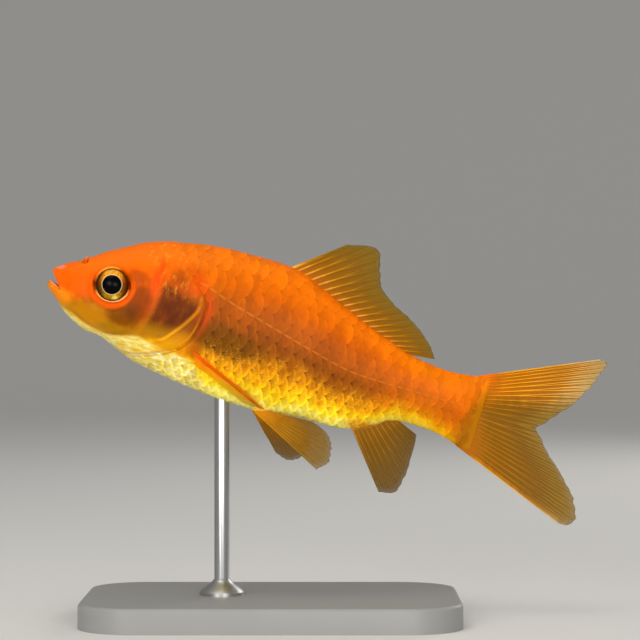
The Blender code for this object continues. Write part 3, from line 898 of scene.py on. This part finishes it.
def girth_table():
    """Stations along the body, arcs up and down from the lateral line, and their angles."""
    stations = np.linspace(13.0, 74.0, 306)
    angles = np.linspace(-0.8, np.pi + 0.8, 361)
    point = on_body(np.minimum(stations, SKIN_END - 0.05)[:, None], angles[None, :])
    steps = np.hypot(*np.moveaxis(np.diff(point[..., 1:], axis=1), -1, 0))
    arc = np.concatenate((np.zeros((len(stations), 1)), np.cumsum(steps, axis=1)), axis=1)
    side = (angles >= 0) & (angles <= np.pi)
    arcs = np.linspace(-17.0, 20.0, 371)
    (line,) = smooth_through(LATERAL_LINE, stations)
    found = np.empty((len(stations), len(arcs)))
    for k in range(len(stations)):
        at_line = np.interp(-line[k], -point[k, side, 2], arc[k, side])
        found[k] = np.interp(arcs, arc[k] - at_line, angles)
    return stations, arcs, found


STATIONS, ARCS, ANGLES = girth_table()


def angle_of(x, arc):
    """The angle at which a point at x lies this far below the lateral line, round the body."""
    i = np.clip((x - STATIONS[0]) / (STATIONS[1] - STATIONS[0]), 0, len(STATIONS) - 1.001)
    j = np.clip((arc - ARCS[0]) / (ARCS[1] - ARCS[0]), 0, len(ARCS) - 1.001)
    a, b = i.astype(int), j.astype(int)
    u, v = i - a, j - b
    top = ANGLES[a, b] * (1 - v) + ANGLES[a, b + 1] * v
    foot = ANGLES[a + 1, b] * (1 - v) + ANGLES[a + 1, b + 1] * v
    return top * (1 - u) + foot * u


def scale_places():
    """Tip and row of each scale of one side, odd rows half a step behind the even ones."""
    places = []
    for row in range(-8, 10):
        tip = FIRST_SCALE
        while tip < LAST_SCALE:
            x = tip + (scale_step(tip) / 2 if row % 2 else 0)
            angle = float(angle_of(np.array(x - SCALE_MIDDLE), np.array(row * row_height(x))))
            middle = on_body(x - SCALE_MIDDLE, angle)
            start, _ = beside(SCALES_START, middle[0:1], middle[2:3])
            on_side = NEAR_MIDLINE < angle < math.pi - NEAR_MIDLINE
            if start[0] > 0.0 and on_side and x < LAST_SCALE:
                places.append((x, row))
            tip += scale_step(tip)
    return np.array(places)


def scale_blank():
    """One flat plate, -1 to 1 across and 0 to 1 from root to tip."""
    bm = bmesh.new()
    bmesh.ops.create_grid(bm, x_segments=8, y_segments=6, size=1)
    bmesh.ops.solidify(bm, geom=bm.faces, thickness=0.1)
    bmesh.ops.recalc_face_normals(bm, faces=bm.faces)
    mesh = bpy.data.meshes.new("scale_blank")
    bm.to_mesh(mesh)
    bm.free()
    mesh.uv_layers.new(name="OFBake")
    return mesh


def many(mesh, count):
    """A mesh of count copies, one after another, made by an array."""
    blank = bpy.data.objects.new("blank", mesh)
    bpy.context.scene.collection.objects.link(blank)
    array = blank.modifiers.new("array", "ARRAY")
    array.count = count
    array.use_relative_offset = False
    array.use_constant_offset = True
    array.constant_offset_displace = (0, 0, 0)
    evaluated = blank.evaluated_get(bpy.context.evaluated_depsgraph_get())
    copies = bpy.data.meshes.new_from_object(evaluated)
    bpy.data.objects.remove(blank)
    return copies


def scale_finish():
    material, tree, shader = new_material("scales")
    colour, gold, place = use_colours(tree)
    across, along, chance = read(tree, "across"), read(tree, "along"), read(tree, "chance")
    from_snout, _, _ = parts_of(place)
    level = read(tree, "level")
    colour = paint_breast(tree, colour, place)

    # A light rear edge on each scale, partly its own colour and partly a painted highlight, and
    # painted shade in the pocket under the one in front.
    streak = noise(place, 3.0, 3.0, 0.6)
    rim = times_plus(reckon("POWER", across, 2.0), 0.30, along)
    rim = times_plus(centred(streak), 0.35, rim)
    plain = times_plus(rise(level, 0.5, -0.2), 0.65, 0.35)
    plain = times(plain, times_plus(rise(from_snout, 64, 48), 0.5, 0.5))
    # The light rear edge: partly the scale's own colour, partly a painted highlight.
    edge = times(rise(rim, 0.72, 0.98), rise(gold, -0.8, 0.8), plain, 0.85)
    colour = blend(edge, colour, recolour(colour, 1.4, 0.506))
    # Painted shade: darker towards each scale's root, under the scale in front.
    painted_pocket_shade = times(rise(rim, 0.62, 0.25), plain, 0.6)
    painted_pocket_shade = times(painted_pocket_shade, times_plus(rise(level, -0.9, -0.6), 0.7, 0.3))
    colour = blend(painted_pocket_shade, colour, "964604", "MULTIPLY")

    # Each scale's own tint, the lateral line, and flakes of silvery gold painted on as highlights.
    colour = recolour(colour, times_plus(chance, 0.26, 0.87))
    canal = times(read(tree, "canal"), rise(across, 0.13, 0.03), 0.35)
    colour = blend(canal, colour, "f08824")
    flake = noise(stretched(place, (1.0, 1.0, 2.2)), 2.4, 3.0, 0.6)
    flake = rise(flake, 0.52, 0.74)
    colour = blend(times(flake, gold, 0.65), colour, "ffe458")
    tree.links.new(colour, shader.inputs["Base Color"])
    shine = times(gold, rise(level, -1.0, -0.6), 0.2)
    tree.links.new(shine, shader.inputs["Metallic"])
    wet_flesh(shader, 0.35, 0.0008)
    tree.links.new(times_plus(streak, 0.2, 0.28), shader.inputs["Roughness"])
    rings = reckon("PINGPONG", times(rim, 9.0), 0.5)
    relief(shader, rings, 0.00001)
    return material


scales_material = scale_finish()
places = scale_places()
random = np.random.default_rng(7)
for side, name in SIDES:
    copies = many(scale_blank(), len(places))
    flat = np.empty(len(copies.vertices) * 3)
    copies.vertices.foreach_get("co", flat)
    flat = flat.reshape(len(places), -1, 3)
    a, b = flat[..., 0], (flat[..., 1] + 1) / 2
    below = flat[..., 2] < -0.01
    tip, row = places[:, 0, None], places[:, 1, None]
    tip = tip + random.normal(0, TIP_SCATTER, tip.shape)
    pitch = scale_step(tip)
    rear = tip - TIP_ROUNDING * pitch * (1 - np.sqrt(1 - 0.96 * a**2))
    root = tip - SCALE_LENGTH * pitch
    x = part_way(root, rear, b)
    arc = (row + SCALE_HALF_WIDTH * a) * row_height(x)
    angle = angle_of(x, arc)
    lift = part_way(ROOT_LIFT, TIP_LIFT, b**0.85) - SIDE_DROP * a**2
    lift -= np.where(below, SCALE_THICKNESS, 0)
    tilt = random.normal(0, TILT_SCATTER, tip.shape)
    lift += tilt * b
    canal = np.where(row == 0, between(b, 0.15, 0.35, 0.85, 0.99), 0)
    lift += CANAL_HEIGHT * canal * mound(a, 0.12)
    beyond = np.maximum(-angle, angle - np.pi) * 5
    lift -= 0.2 * np.maximum(beyond, 0)
    lift *= step(x, SKIN_END + 0.6, SKIN_END - 4.0) * 0.35 + 0.65
    point = on_body(np.minimum(x, SKIN_END - 0.05), angle, lift)
    point[..., 0] = x
    if side > 0:
        point[..., 1] = 2 * swing(point[..., 0]) - point[..., 1]
    copies.vertices.foreach_set("co", to_world(point.reshape(-1, 3)).ravel())
    bm = bmesh.new()
    bm.from_mesh(copies)
    if side > 0:
        bmesh.ops.reverse_faces(bm, faces=bm.faces)
    scales = new_piece("scales_" + name, bm, scales_material, 50)
    note_level(scales)
    note(scales, "across", np.abs(a))
    note(scales, "along", b)
    note_head(scales)
    note(scales, "canal", canal)
    note(scales, "chance", np.repeat(random.random(len(places)), a.shape[1]))
    root_x = root / (SKIN_END + 4)
    root_angle = np.clip(angle_of(tip - pitch / 2, row * row_height(tip)) / np.pi, 0.01, 0.99)
    u = root_x + BAKE_SIZE * (b - 0.5)
    v = root_angle + BAKE_SIZE / 2 * a
    corner = np.empty(len(scales.data.loops), int)
    scales.data.loops.foreach_get("vertex_index", corner)
    spots = np.stack((u.ravel()[corner], v.ravel()[corner]), -1)
    scales.data.uv_layers["OFBake"].uv.foreach_set("vector", spots.ravel())
    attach(scales, "root")


# Eyes. Each is a separate ball: a black pupil in a thin pale ring, a gold iris that darkens
# to its front and back, and a yellow outer rim, all under one clear glossy cover. A yellow glint
# low on the iris and the rim's orange top are painted highlights.

EYE_DEPTH = 3.75
EYE_RADII = (3.15, 2.3, 2.95)
PUPIL = 1.55
LENS_BULGE = 0.16
IRIS_DEPTH = 0.14


# Colours of the iris and of the rim round it, from the foot of the eye up. The rim's orange
# top is a painted highlight.
IRIS_STOPS = (
    (0.05, "b8940c"), (0.26, "765604"), (0.50, "7c4606"), (0.72, "c4720a"), (0.95, "ffae1c"),
)
EYE_RIM_STOPS = (
    (0.05, "fff0a8"), (0.22, "ffd460"), (0.38, "8a3c06"), (0.56, "5c1c02"), (0.80, "f07414"),
    (0.98, "ff9630"),
)


def eye_finish():
    material, tree, shader = new_material("eye")
    middle, scale = to_world(np.array((EYE[0], 0, EYE[1]))), (MM, MM, MM)
    place = add("Mapping", object_place(tree), middle, (0, 0, 0), scale, vector_type="TEXTURE")
    back, _, up = parts_of(place)
    flat = add("CombineXYZ", back, 0.0, up)
    radius = distance(flat, (0.0, 0.0, 0.0))
    upward = reckon("DIVIDE", up, radius)
    backward = reckon("DIVIDE", back, radius)
    grain = noise(flat, 2.2, 4.0, 0.65)
    wobble = centred(grain)
    rough_radius = times_plus(wobble, 0.20, radius)
    turn = times_plus(wobble, 0.5, times_plus(upward, 0.5, 0.5))
    iris = ramp(turn, IRIS_STOPS)
    fleck = ramp(noise(flat, 3.6, 3.0, 0.65), ((0.35, "a87448"), (0.65, "ffffff")))
    iris = blend(0.7, iris, fleck, "MULTIPLY")
    deep = rise(rough_radius, 1.75, 2.35)
    colour = blend(times(rise(backward, -0.4, -0.9), deep, 0.85), iris, "4a2a02")
    colour = blend(times(rise(backward, 0.6, 0.98), deep, 0.75), colour, "702c04")
    # A painted highlight: a yellow glint low on the iris.
    painted_glint = distance(flat, (0.45, 0.0, -2.15))
    colour = blend(times(rise(painted_glint, 0.75, 0.1), 0.75), colour, "ffec6c")
    reach = rise(reckon("ABSOLUTE", backward), 0.35, 0.95)
    reach = times_plus(reach, 0.30, 0.28)
    ring = reckon("DIVIDE", reckon("SUBTRACT", rough_radius, 2.50), reach)
    colour = blend(times(band(ring, 0.0, 1.0), 0.92), colour, "381002")
    # The rim round the iris: its own colours, with a painted highlight on its orange top.
    rim = ramp(times_plus(upward, 0.5, 0.5), EYE_RIM_STOPS)
    colour = blend(rise(rough_radius, 2.56, 2.68), colour, rim)
    arc = times(rise(backward, 0.25, 0.6), rise(upward, 0.0, 0.4), 0.8)
    arc = times(arc, rise(rough_radius, 2.3, 2.45), rise(rough_radius, 2.95, 2.7))
    colour = blend(arc, colour, "5e2402")
    ring = times(rise(radius, 1.50, 1.56), rise(radius, 1.72, 1.60), 0.8)
    colour = blend(ring, colour, "e8c48c")
    colour = blend(rise(radius, 1.55, 1.50), colour, "010101")
    tree.links.new(colour, shader.inputs["Base Color"])
    shader.inputs["Roughness"].default_value = 0.3
    shader.inputs["Specular IOR Level"].default_value = 0.05
    shader.inputs["Coat Weight"].default_value = 0.03
    shader.inputs["Coat Roughness"].default_value = 0.05
    relief(shader, grain, 0.00003)
    return material


eye_material = eye_finish()
for side, name in SIDES:
    bm = bmesh.new()
    bmesh.ops.create_uvsphere(bm, u_segments=72, v_segments=48, radius=1)
    bmesh.ops.rotate(bm, matrix=Matrix.Rotation(math.radians(90), 3, "X"), verts=bm.verts)
    for vertex in bm.verts:
        x, y, z = vertex.co
        radius = math.hypot(x, z) * EYE_RADII[0]
        deep = EYE_RADII[1] * y
        if y * side > 0:
            lens = LENS_BULGE * (1 - min(1.0, radius / PUPIL) ** 2)
            iris = float(between(radius, 1.45, 1.75, 2.6, 3.1))
            deep += side * (lens - IRIS_DEPTH * iris - 0.04)
        x, z = EYE[0] + EYE_RADII[0] * x, EYE[1] + EYE_RADII[2] * z
        vertex.co = to_world(np.array((x, side * EYE_DEPTH + deep, z)))
    face_outwards(bm)
    eye = new_piece("eye_" + name + "_ball", bm, eye_material)
    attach(eye, "root")
    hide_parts("eye_" + name)


# Fins. A thin webbed blade of soft rays that fork on the way out. The first ray is stouter, the
# rays are ridges on both faces, and the web between them is clear and frays at the margin.

WEB_THICKNESS = 0.10
RAY_THICKNESS = 0.26
FIRST_RAY_EXTRA = 0.16
PLEAT = 0.04
# Where a ray forks on its way out, start and end, and how far its branches part.
RAY_FORKS = ((0.28, 0.80, 0.22), (0.62, 1.0, 0.11))


def ray_ridge(ray, along):
    """1 on a ray and 0 on the web. Rays fork in two, and fork again near the margin."""
    away = np.abs(ray - np.rint(ray))
    for start, end, spread in RAY_FORKS:
        away = np.abs(away - spread * step(along, start, end))
    return mound(away, 0.15 - 0.09 * step(along, 0.0, 0.75))


def fin_blade(ray_point, rays, columns, rows, sway):
    """A closed blade over ray_point(share, along). sway bends the web and the margin."""
    nudge = 1e-3

    def share_at(turn):
        """From the first ray on one face to the last, and back on the other face."""
        column = np.rint(turn * 2 * columns)
        return np.where(column < columns, column / columns, 2 - column / columns)

    def place(turn, row):
        face = np.where(np.rint(turn * 2 * columns) < columns, 1.0, -1.0)
        share, along = share_at(turn), row / rows
        a, b = np.minimum(share, 1 - nudge), np.minimum(along, 1 - nudge)
        across = ray_point(a + nudge, b) - ray_point(a, b)
        outwards = ray_point(a, b + nudge) - ray_point(a, b)
        normal = np.cross(across, outwards)
        normal /= np.linalg.norm(normal, axis=-1, keepdims=True)
        ray = share * (rays - 1)
        ridge = ray_ridge(ray, along)
        stout = RAY_THICKNESS * (1 - 0.7 * along) + FIRST_RAY_EXTRA * mound(ray, 0.5)
        thickness = WEB_THICKNESS + stout * step(along, -0.05, 0.3) * ridge
        rim = (share == 0) | (share == 1) | (row == 0) | (row == rows)
        thickness = np.where(rim, 0, thickness)
        wave = sway * along**1.5 * np.sin(share * 5.0 + along * 2.5) * (1 - share**3)
        pleat = PLEAT * np.cos(2 * np.pi * ray) * step(along, 0.0, 0.3) * (1 - share**6)
        return ray_point(share, along) + normal * (face * thickness / 2 + wave + pleat)[..., None]

    def marks(turn, row):
        return {"ray": share_at(turn) * (rays - 1), "out": row / rows}

    return rolled(2 * columns, rows, place, marks)


def frayed(length, share, rays):
    """A ray's length, with the web drawn in a little between the rays' tips."""
    ray = share * (rays - 1)
    ragged = 0.004 * np.sin(ray * 2.4 + 1) + 0.003 * np.sin(ray * 5.3)
    return length * (0.994 + 0.004 * np.cos(2 * np.pi * ray) + ragged)


def fan(root, table, rays, sideways=(0, 0)):
    """Rays that start at root(share) and follow a table of share, angle in degrees and length."""

    def ray_point(share, along):
        angle, length = smooth_through(table, share)
        angle = np.radians(angle)
        length = frayed(length, share, rays)
        start = root(share)
        reach = np.stack((np.cos(angle), 0 * angle, np.sin(angle)), -1)
        point = start + reach * (length * along)[..., None]
        outwards = part_way(*sideways, share)
        point[..., 1] += swing(point[..., 0]) - swing(start[..., 0]) + outwards * along
        return point

    return ray_point


def fin_rays():
    """Group: where the rays run on a fin, and the fine joints across them."""
    tree, ins, outs = new_group(
        "fin_rays",
        (("Ray", "Float"), ("Out", "Float")),
        (("Mask", "Float"), ("Joints", "Float")),
    )
    ray, out = ins[:2]
    away = reckon("PINGPONG", ray, 0.5)
    for start, end, spread in RAY_FORKS:
        fork = times(rise(out, start, end), spread)
        away = reckon("ABSOLUTE", reckon("SUBTRACT", away, fork))
    width = times_plus(rise(out, 0.0, 0.75), -0.115, 0.20)
    mask = rise(reckon("DIVIDE", away, width), 1.0, 0.3)
    first = rise(ray, 0.55, 0.25)
    mask = times(mask, rise(out, -0.15, 0.22))
    tree.links.new(reckon("MAXIMUM", mask, first), outs[0])
    joint = reckon("PINGPONG", times(out, 40.0), 0.5)
    tree.links.new(rise(joint, 0.0, 0.16), outs[1])
    return tree


FIN_RAYS = fin_rays()


def fin_palette(drift, web_codes, ray_codes, ray_mask, joints):
    """The fin's colour, from its web's and its rays' colours from the root to the margin."""
    stops = (0.0, 0.3, 0.7, 0.98)
    web = ramp(drift, tuple(zip(stops, web_codes)))
    rays = ramp(drift, tuple(zip(stops, ray_codes)))
    rays = blend(times_plus(joints, -0.3, 0.3), rays, web)
    return blend(ray_mask, web, rays)


def fin_finish(name, palette, clearness, root, lead=None):
    """root is where the body's colour starts and ends on the fin. lead is another palette, how
    many rays from the first it reaches, and how many it takes to fade."""
    material, tree, shader = new_material(name)
    colour, _, place = use_colours(tree)
    out, ray = read(tree, "out"), read(tree, "ray")
    ray_mask, joints = new_node(tree, "Group", ray, out, node_tree=FIN_RAYS).outputs
    cloud = centred(noise(place, 0.9, 3.0))
    drift = times_plus(cloud, 0.25, out)
    fin = fin_palette(drift, *palette, ray_mask, joints)
    if lead:
        brighter = fin_palette(drift, *lead[0], ray_mask, joints)
        drawn = times_plus(cloud, 1.5 * lead[2], ray)
        reach = rise(drawn, lead[1] + lead[2], lead[1] - lead[2])
        fin = blend(reach, fin, brighter)
    start = times_plus(cloud, 0.5 * root[1], out)
    fin = blend(rise(start, root[1], root[0]), fin, colour)
    tree.links.new(fin, shader.inputs["Base Color"])
    solid_rays = times(ray_mask, rise(out, 1.0, 0.7), -0.55)
    clear = times(rise(drift, root[1] * 0.6, 0.9), clearness)
    clear = times(clear, reckon("ADD", 1.0, solid_rays))
    margin = times(rise(out, 0.90, 1.0), 0.18)
    clear = reckon("ADD", clear, margin)
    tree.links.new(reckon("SUBTRACT", 1.0, clear), shader.inputs["Alpha"])
    wet_flesh(shader, 0.40, 0.0006)
    height = times_plus(joints, 0.15, ray_mask)
    relief(shader, height, 0.00003)
    return material


DORSAL_PALETTE = (("a85c03", "8e5a02", "825a04", "7c600c"), ("fcc040", "bc800e", "8c6408", "84680e"))
ANAL_PALETTE = (("8a5604", "765004", "6c4c08", "644a0e"), ("b88012", "98680e", "7e5a0e", "745616"))
PAIRED_PALETTE = (("e08a0a", "a86c08", "865c0e", "82621c"), ("f4a420", "c48818", "9a7018", "8e6e24"))
AMBER_PALETTE = (("a86004", "885604", "80560a", "806010"), ("cc7c0c", "ae7810", "9c6e10", "a8862c"))
GOLD_PALETTE = (("d87004", "bc6c04", "b46c06", "b0802c"), ("f6920f", "f8b020", "f6b030", "ecd08c"))
FOLDED_PALETTE = (("e87006", "ffb814", "ffc41c", "f4c43c"), ("ee7208", "ffa810", "fcb41a", "f4bc30"))
RED_PALETTE = (("f46604", "f46804", "f07008", "ec7c0c"), ("f87008", "f87408", "f47c0c", "f08814"))
dorsal_material = fin_finish("dorsal_fin", DORSAL_PALETTE, 0.16, (0.0, 0.06))
anal_material = fin_finish("anal_fin", ANAL_PALETTE, 0.22, (0.0, 0.05))
paired_material = fin_finish("paired_fin", PAIRED_PALETTE, 0.28, (0.0, 0.06))
upper_material = fin_finish("upper_tail_fin", AMBER_PALETTE, 0.20, (0.09, 0.26), (GOLD_PALETTE, 8.0, 2.2))
lower_material = fin_finish("lower_tail_fin", AMBER_PALETTE, 0.20, (0.09, 0.22), (GOLD_PALETTE, 0.6, 1.6))
pectoral_material = fin_finish("pectoral_fin", FOLDED_PALETTE, 0.35, (0.0, 0.1), (RED_PALETTE, 4.6, 0.5))

DORSAL_ROOT = (36.1, 58.2)
DORSAL_FAN = (
    (0.0, 39, 9.9), (0.12, 38, 12.5), (0.25, 33, 10.2), (0.36, 30, 8.2),
    (0.5, 27, 7.4), (0.67, 22, 7.5), (0.85, 15, 6.4), (1.0, 8, 4.6),
)
ANAL_ROOT = (53.0, 59.8)
ANAL_FAN = (
    (0.0, -50, 11.3), (0.25, -47, 11.8), (0.5, -42, 9.7), (0.75, -34, 6.7), (1.0, -22, 3.9),
)
UPPER_LOBE_ROOT = (5.15, -0.6)
UPPER_LOBE_FAN = (
    (0.0, 24.6, 19.9), (0.12, 24.2, 21.6), (0.25, 23.2, 21.1), (0.4, 21.4, 20.2),
    (0.55, 18.2, 18.7), (0.7, 13.6, 16.5), (0.85, 8.5, 13.9), (1.0, 1.4, 11.4),
)
LOWER_LOBE_ROOT = (-6.55, -0.6)
LOWER_LOBE_FAN = (
    (0.0, -20.4, 20.7), (0.12, -20.1, 22.7), (0.25, -17.6, 23.1), (0.4, -14.2, 21.6),
    (0.55, -12.0, 19.5), (0.7, -9.5, 17.0), (0.85, -5.5, 14.1), (1.0, 3.2, 11.4),
)
TAIL_ROOT = 70.0
ROOT_DEPTH = 0.35  # how far a fin is let into the body


def on_midline(ends, angle):
    def root(share):
        return on_body(part_way(*ends, share), angle, -ROOT_DEPTH)

    return root


def on_tail(levels):
    def root(share):
        z = part_way(*levels, share)
        return np.stack((TAIL_ROOT + 0 * z, swing(TAIL_ROOT) + 0 * z, z), -1)

    return root


def make_fin(name, ray_point, rays, per_ray, rows, sway, material):
    columns = (rays - 1) * per_ray
    piece = new_piece(name + "_web", fin_blade(ray_point, rays, columns, rows, sway), material)
    note_level(piece)
    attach(piece, "root")
    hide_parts(name)


for name, root, table, rays, per_ray, rows, sway, material in (
    ("dorsal_fin", on_midline(DORSAL_ROOT, 0.0), DORSAL_FAN, 19, 8, 56, 0.25, dorsal_material),
    ("anal_fin", on_midline(ANAL_ROOT, np.pi), ANAL_FAN, 11, 8, 56, 0.2, anal_material),
    ("caudal_fin_upper", on_tail(UPPER_LOBE_ROOT), UPPER_LOBE_FAN, 13, 8, 90, 0.3, upper_material),
    ("caudal_fin_lower", on_tail(LOWER_LOBE_ROOT), LOWER_LOBE_FAN, 13, 8, 90, -0.3, lower_material),
):
    make_fin(name, fan(root, table, rays), rays, per_ray, rows, sway, material)

# Distance from the snout, level and lift off the body, at a ray's root and tip.
PECTORAL_TOP_RAY = ((25.0, -3.9, 0.1), (39.2, -8.8, 1.6))
PECTORAL_FOOT_RAY = ((25.9, -5.9, 0.1), (36.6, -9.6, 0.9))


def folded_fin(side):
    def edge(ray, along):
        x, z, lift = (part_way(*ends, along) for ends in zip(*ray))
        return on_body(x, body_angle(x, z), lift)

    def ray_point(share, along):
        length = along * (1 - 0.1 * share**2)
        length = frayed(length, share, 14)
        top, foot = edge(PECTORAL_TOP_RAY, length), edge(PECTORAL_FOOT_RAY, length)
        point = part_way(top, foot, share[..., None])
        middle = swing(point[..., 0])
        point[..., 1] = middle - side * (point[..., 1] - middle)
        return point

    return ray_point


PELVIC_ROOT = ((36.6, 1.4, -10.3), (39.4, 1.7, -9.9))
LEFT_PELVIC_FAN = (
    (0.0, -25, 14.3), (0.25, -19, 14.6), (0.5, -11, 13.2), (0.75, -4, 11.2), (1.0, 4, 7.4),
)
LEFT_PELVIC_SPREAD = (3.8, 2.2)
RIGHT_PELVIC_FAN = (
    (0.0, -46, 8.8), (0.25, -42.5, 10.0), (0.5, -36, 10.4), (0.75, -26, 9.7), (1.0, -12, 7.5),
)
RIGHT_PELVIC_SPREAD = (7.0, 3.6)


def pelvic_root(side):
    def root(share):
        spot = part_way(*np.array(PELVIC_ROOT), share[..., None])
        spot[..., 1] = swing(spot[..., 0]) + side * spot[..., 1]
        return spot

    return root


for side, name, table, spread in (
    (-1, "left", LEFT_PELVIC_FAN, LEFT_PELVIC_SPREAD),
    (1, "right", RIGHT_PELVIC_FAN, RIGHT_PELVIC_SPREAD),
):
    ray_point = fan(pelvic_root(side), table, 11, [side * reach for reach in spread])
    make_fin("pelvic_fin_" + name, ray_point, 11, 8, 60, 0.2, paired_material)
    make_fin("pectoral_fin_" + name, folded_fin(side), 14, 6, 60, 0.1, pectoral_material)


# Nostrils. A small upright flap of skin stands between the two openings on each side. It leans
# back a little and is rooted in a pit of the skin.

for side, name in SIDES:
    bm = bmesh.new()
    bmesh.ops.create_uvsphere(bm, u_segments=24, v_segments=16, radius=1)
    for vertex in bm.verts:
        x, y, z = vertex.co
        taper = 1 - 0.35 * max(0.0, z)
        local = (
            NOSTRIL[0] - 0.15 + 0.30 * x * taper + 0.30 * y * y + 0.12 * z,
            side * (NOSTRIL[1] - 0.08 * z) + 0.52 * y * taper,
            NOSTRIL[2] + 0.28 + 0.62 * z - 0.20 * side * y,
        )
        vertex.co = to_world(np.array(local))
    face_outwards(bm)
    flap = new_piece("nostril_flap_" + name, bm, skin.data.materials[0], 60)
    note_level(flap)
    note_head(flap)
    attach(flap, "root")


# Stand. A weighted steel plate with rounded corners in satin grey paint, and one brushed steel
# rod in a collar, which goes up into the belly.

BASE_CORNER = 0.009
BASE_EDGE = 0.0006
ROD_RADIUS = 0.0012
COLLAR_RADIUS = 0.0036


def painted_steel():
    material, tree, shader = new_material("stand_paint")
    place = object_place(tree)
    cloud = noise(place, 60.0, 3.0)
    tree.links.new(blend(cloud, "8c8b88", "94938f"), shader.inputs["Base Color"])
    shader.inputs["Roughness"].default_value = 0.45
    relief(shader, noise(place, 2500.0, 2.0), 0.00001)
    return material


def brushed_steel():
    material, tree, shader = new_material("stand_steel")
    brush = noise(stretched(object_place(tree), (1.0, 1.0, 0.02)), 4000.0, 3.0)
    tree.links.new(blend(brush, "a8a8a6", "b8b8b6"), shader.inputs["Base Color"])
    tree.links.new(times_plus(brush, 0.2, 0.22), shader.inputs["Roughness"])
    shader.inputs["Metallic"].default_value = 1.0
    return material


def round_off(bm, edges, radius, segments):
    bmesh.ops.bevel(
        bm, geom=edges, offset=radius, segments=segments, profile=0.5, affect="EDGES", material=-1
    )


low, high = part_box("stand_base")
bm = bmesh.new()
bmesh.ops.create_cube(bm, size=1)
for vertex in bm.verts:
    vertex.co = [part_way(low[k], high[k], vertex.co[k] + 0.5) for k in range(3)]
upright = [e for e in bm.edges if abs(e.verts[0].co.z - e.verts[1].co.z) > 0.001]
round_off(bm, upright, BASE_CORNER, 16)
rims = [e for e in bm.edges if all(v.co.z > high[2] - 1e-5 for v in e.verts)]
round_off(bm, rims, BASE_EDGE, 4)
base = new_piece("stand_base_plate", bm, painted_steel(), 30)
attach(base, "root")
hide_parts("stand_base")

rod_low, rod_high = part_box("stand_rod")
rod_x = (rod_low[0] + rod_high[0]) / 2
top = high[2]
profile = (
    (0.0, rod_high[2]),
    (ROD_RADIUS - 0.0003, rod_high[2]),
    (ROD_RADIUS, rod_high[2] - 0.0003),
    (ROD_RADIUS, top + 0.0026),
    (ROD_RADIUS + 0.0003, top + 0.0022),
    (ROD_RADIUS + 0.0009, top + 0.0017),
    (COLLAR_RADIUS - 0.0005, top + 0.0010),
    (COLLAR_RADIUS, top + 0.0005),
    (COLLAR_RADIUS, top - 0.0005),
    (0.0, top - 0.0005),
)
bm = bmesh.new()
line = [bm.verts.new((r, 0, z)) for r, z in profile]
edges = [bm.edges.new(pair) for pair in zip(line, line[1:])]
bmesh.ops.spin(
    bm, geom=line + edges, cent=(0, 0, 0), axis=(0, 0, 1), angle=2 * math.pi, steps=64, use_merge=True
)
bmesh.ops.remove_doubles(bm, verts=bm.verts, dist=1e-6)
face_outwards(bm)
bmesh.ops.translate(bm, verts=bm.verts, vec=(rod_x, 0, 0))
rod = new_piece("stand_rod_turned", bm, brushed_steel(), 40)
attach(rod, "root")
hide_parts("stand_rod")
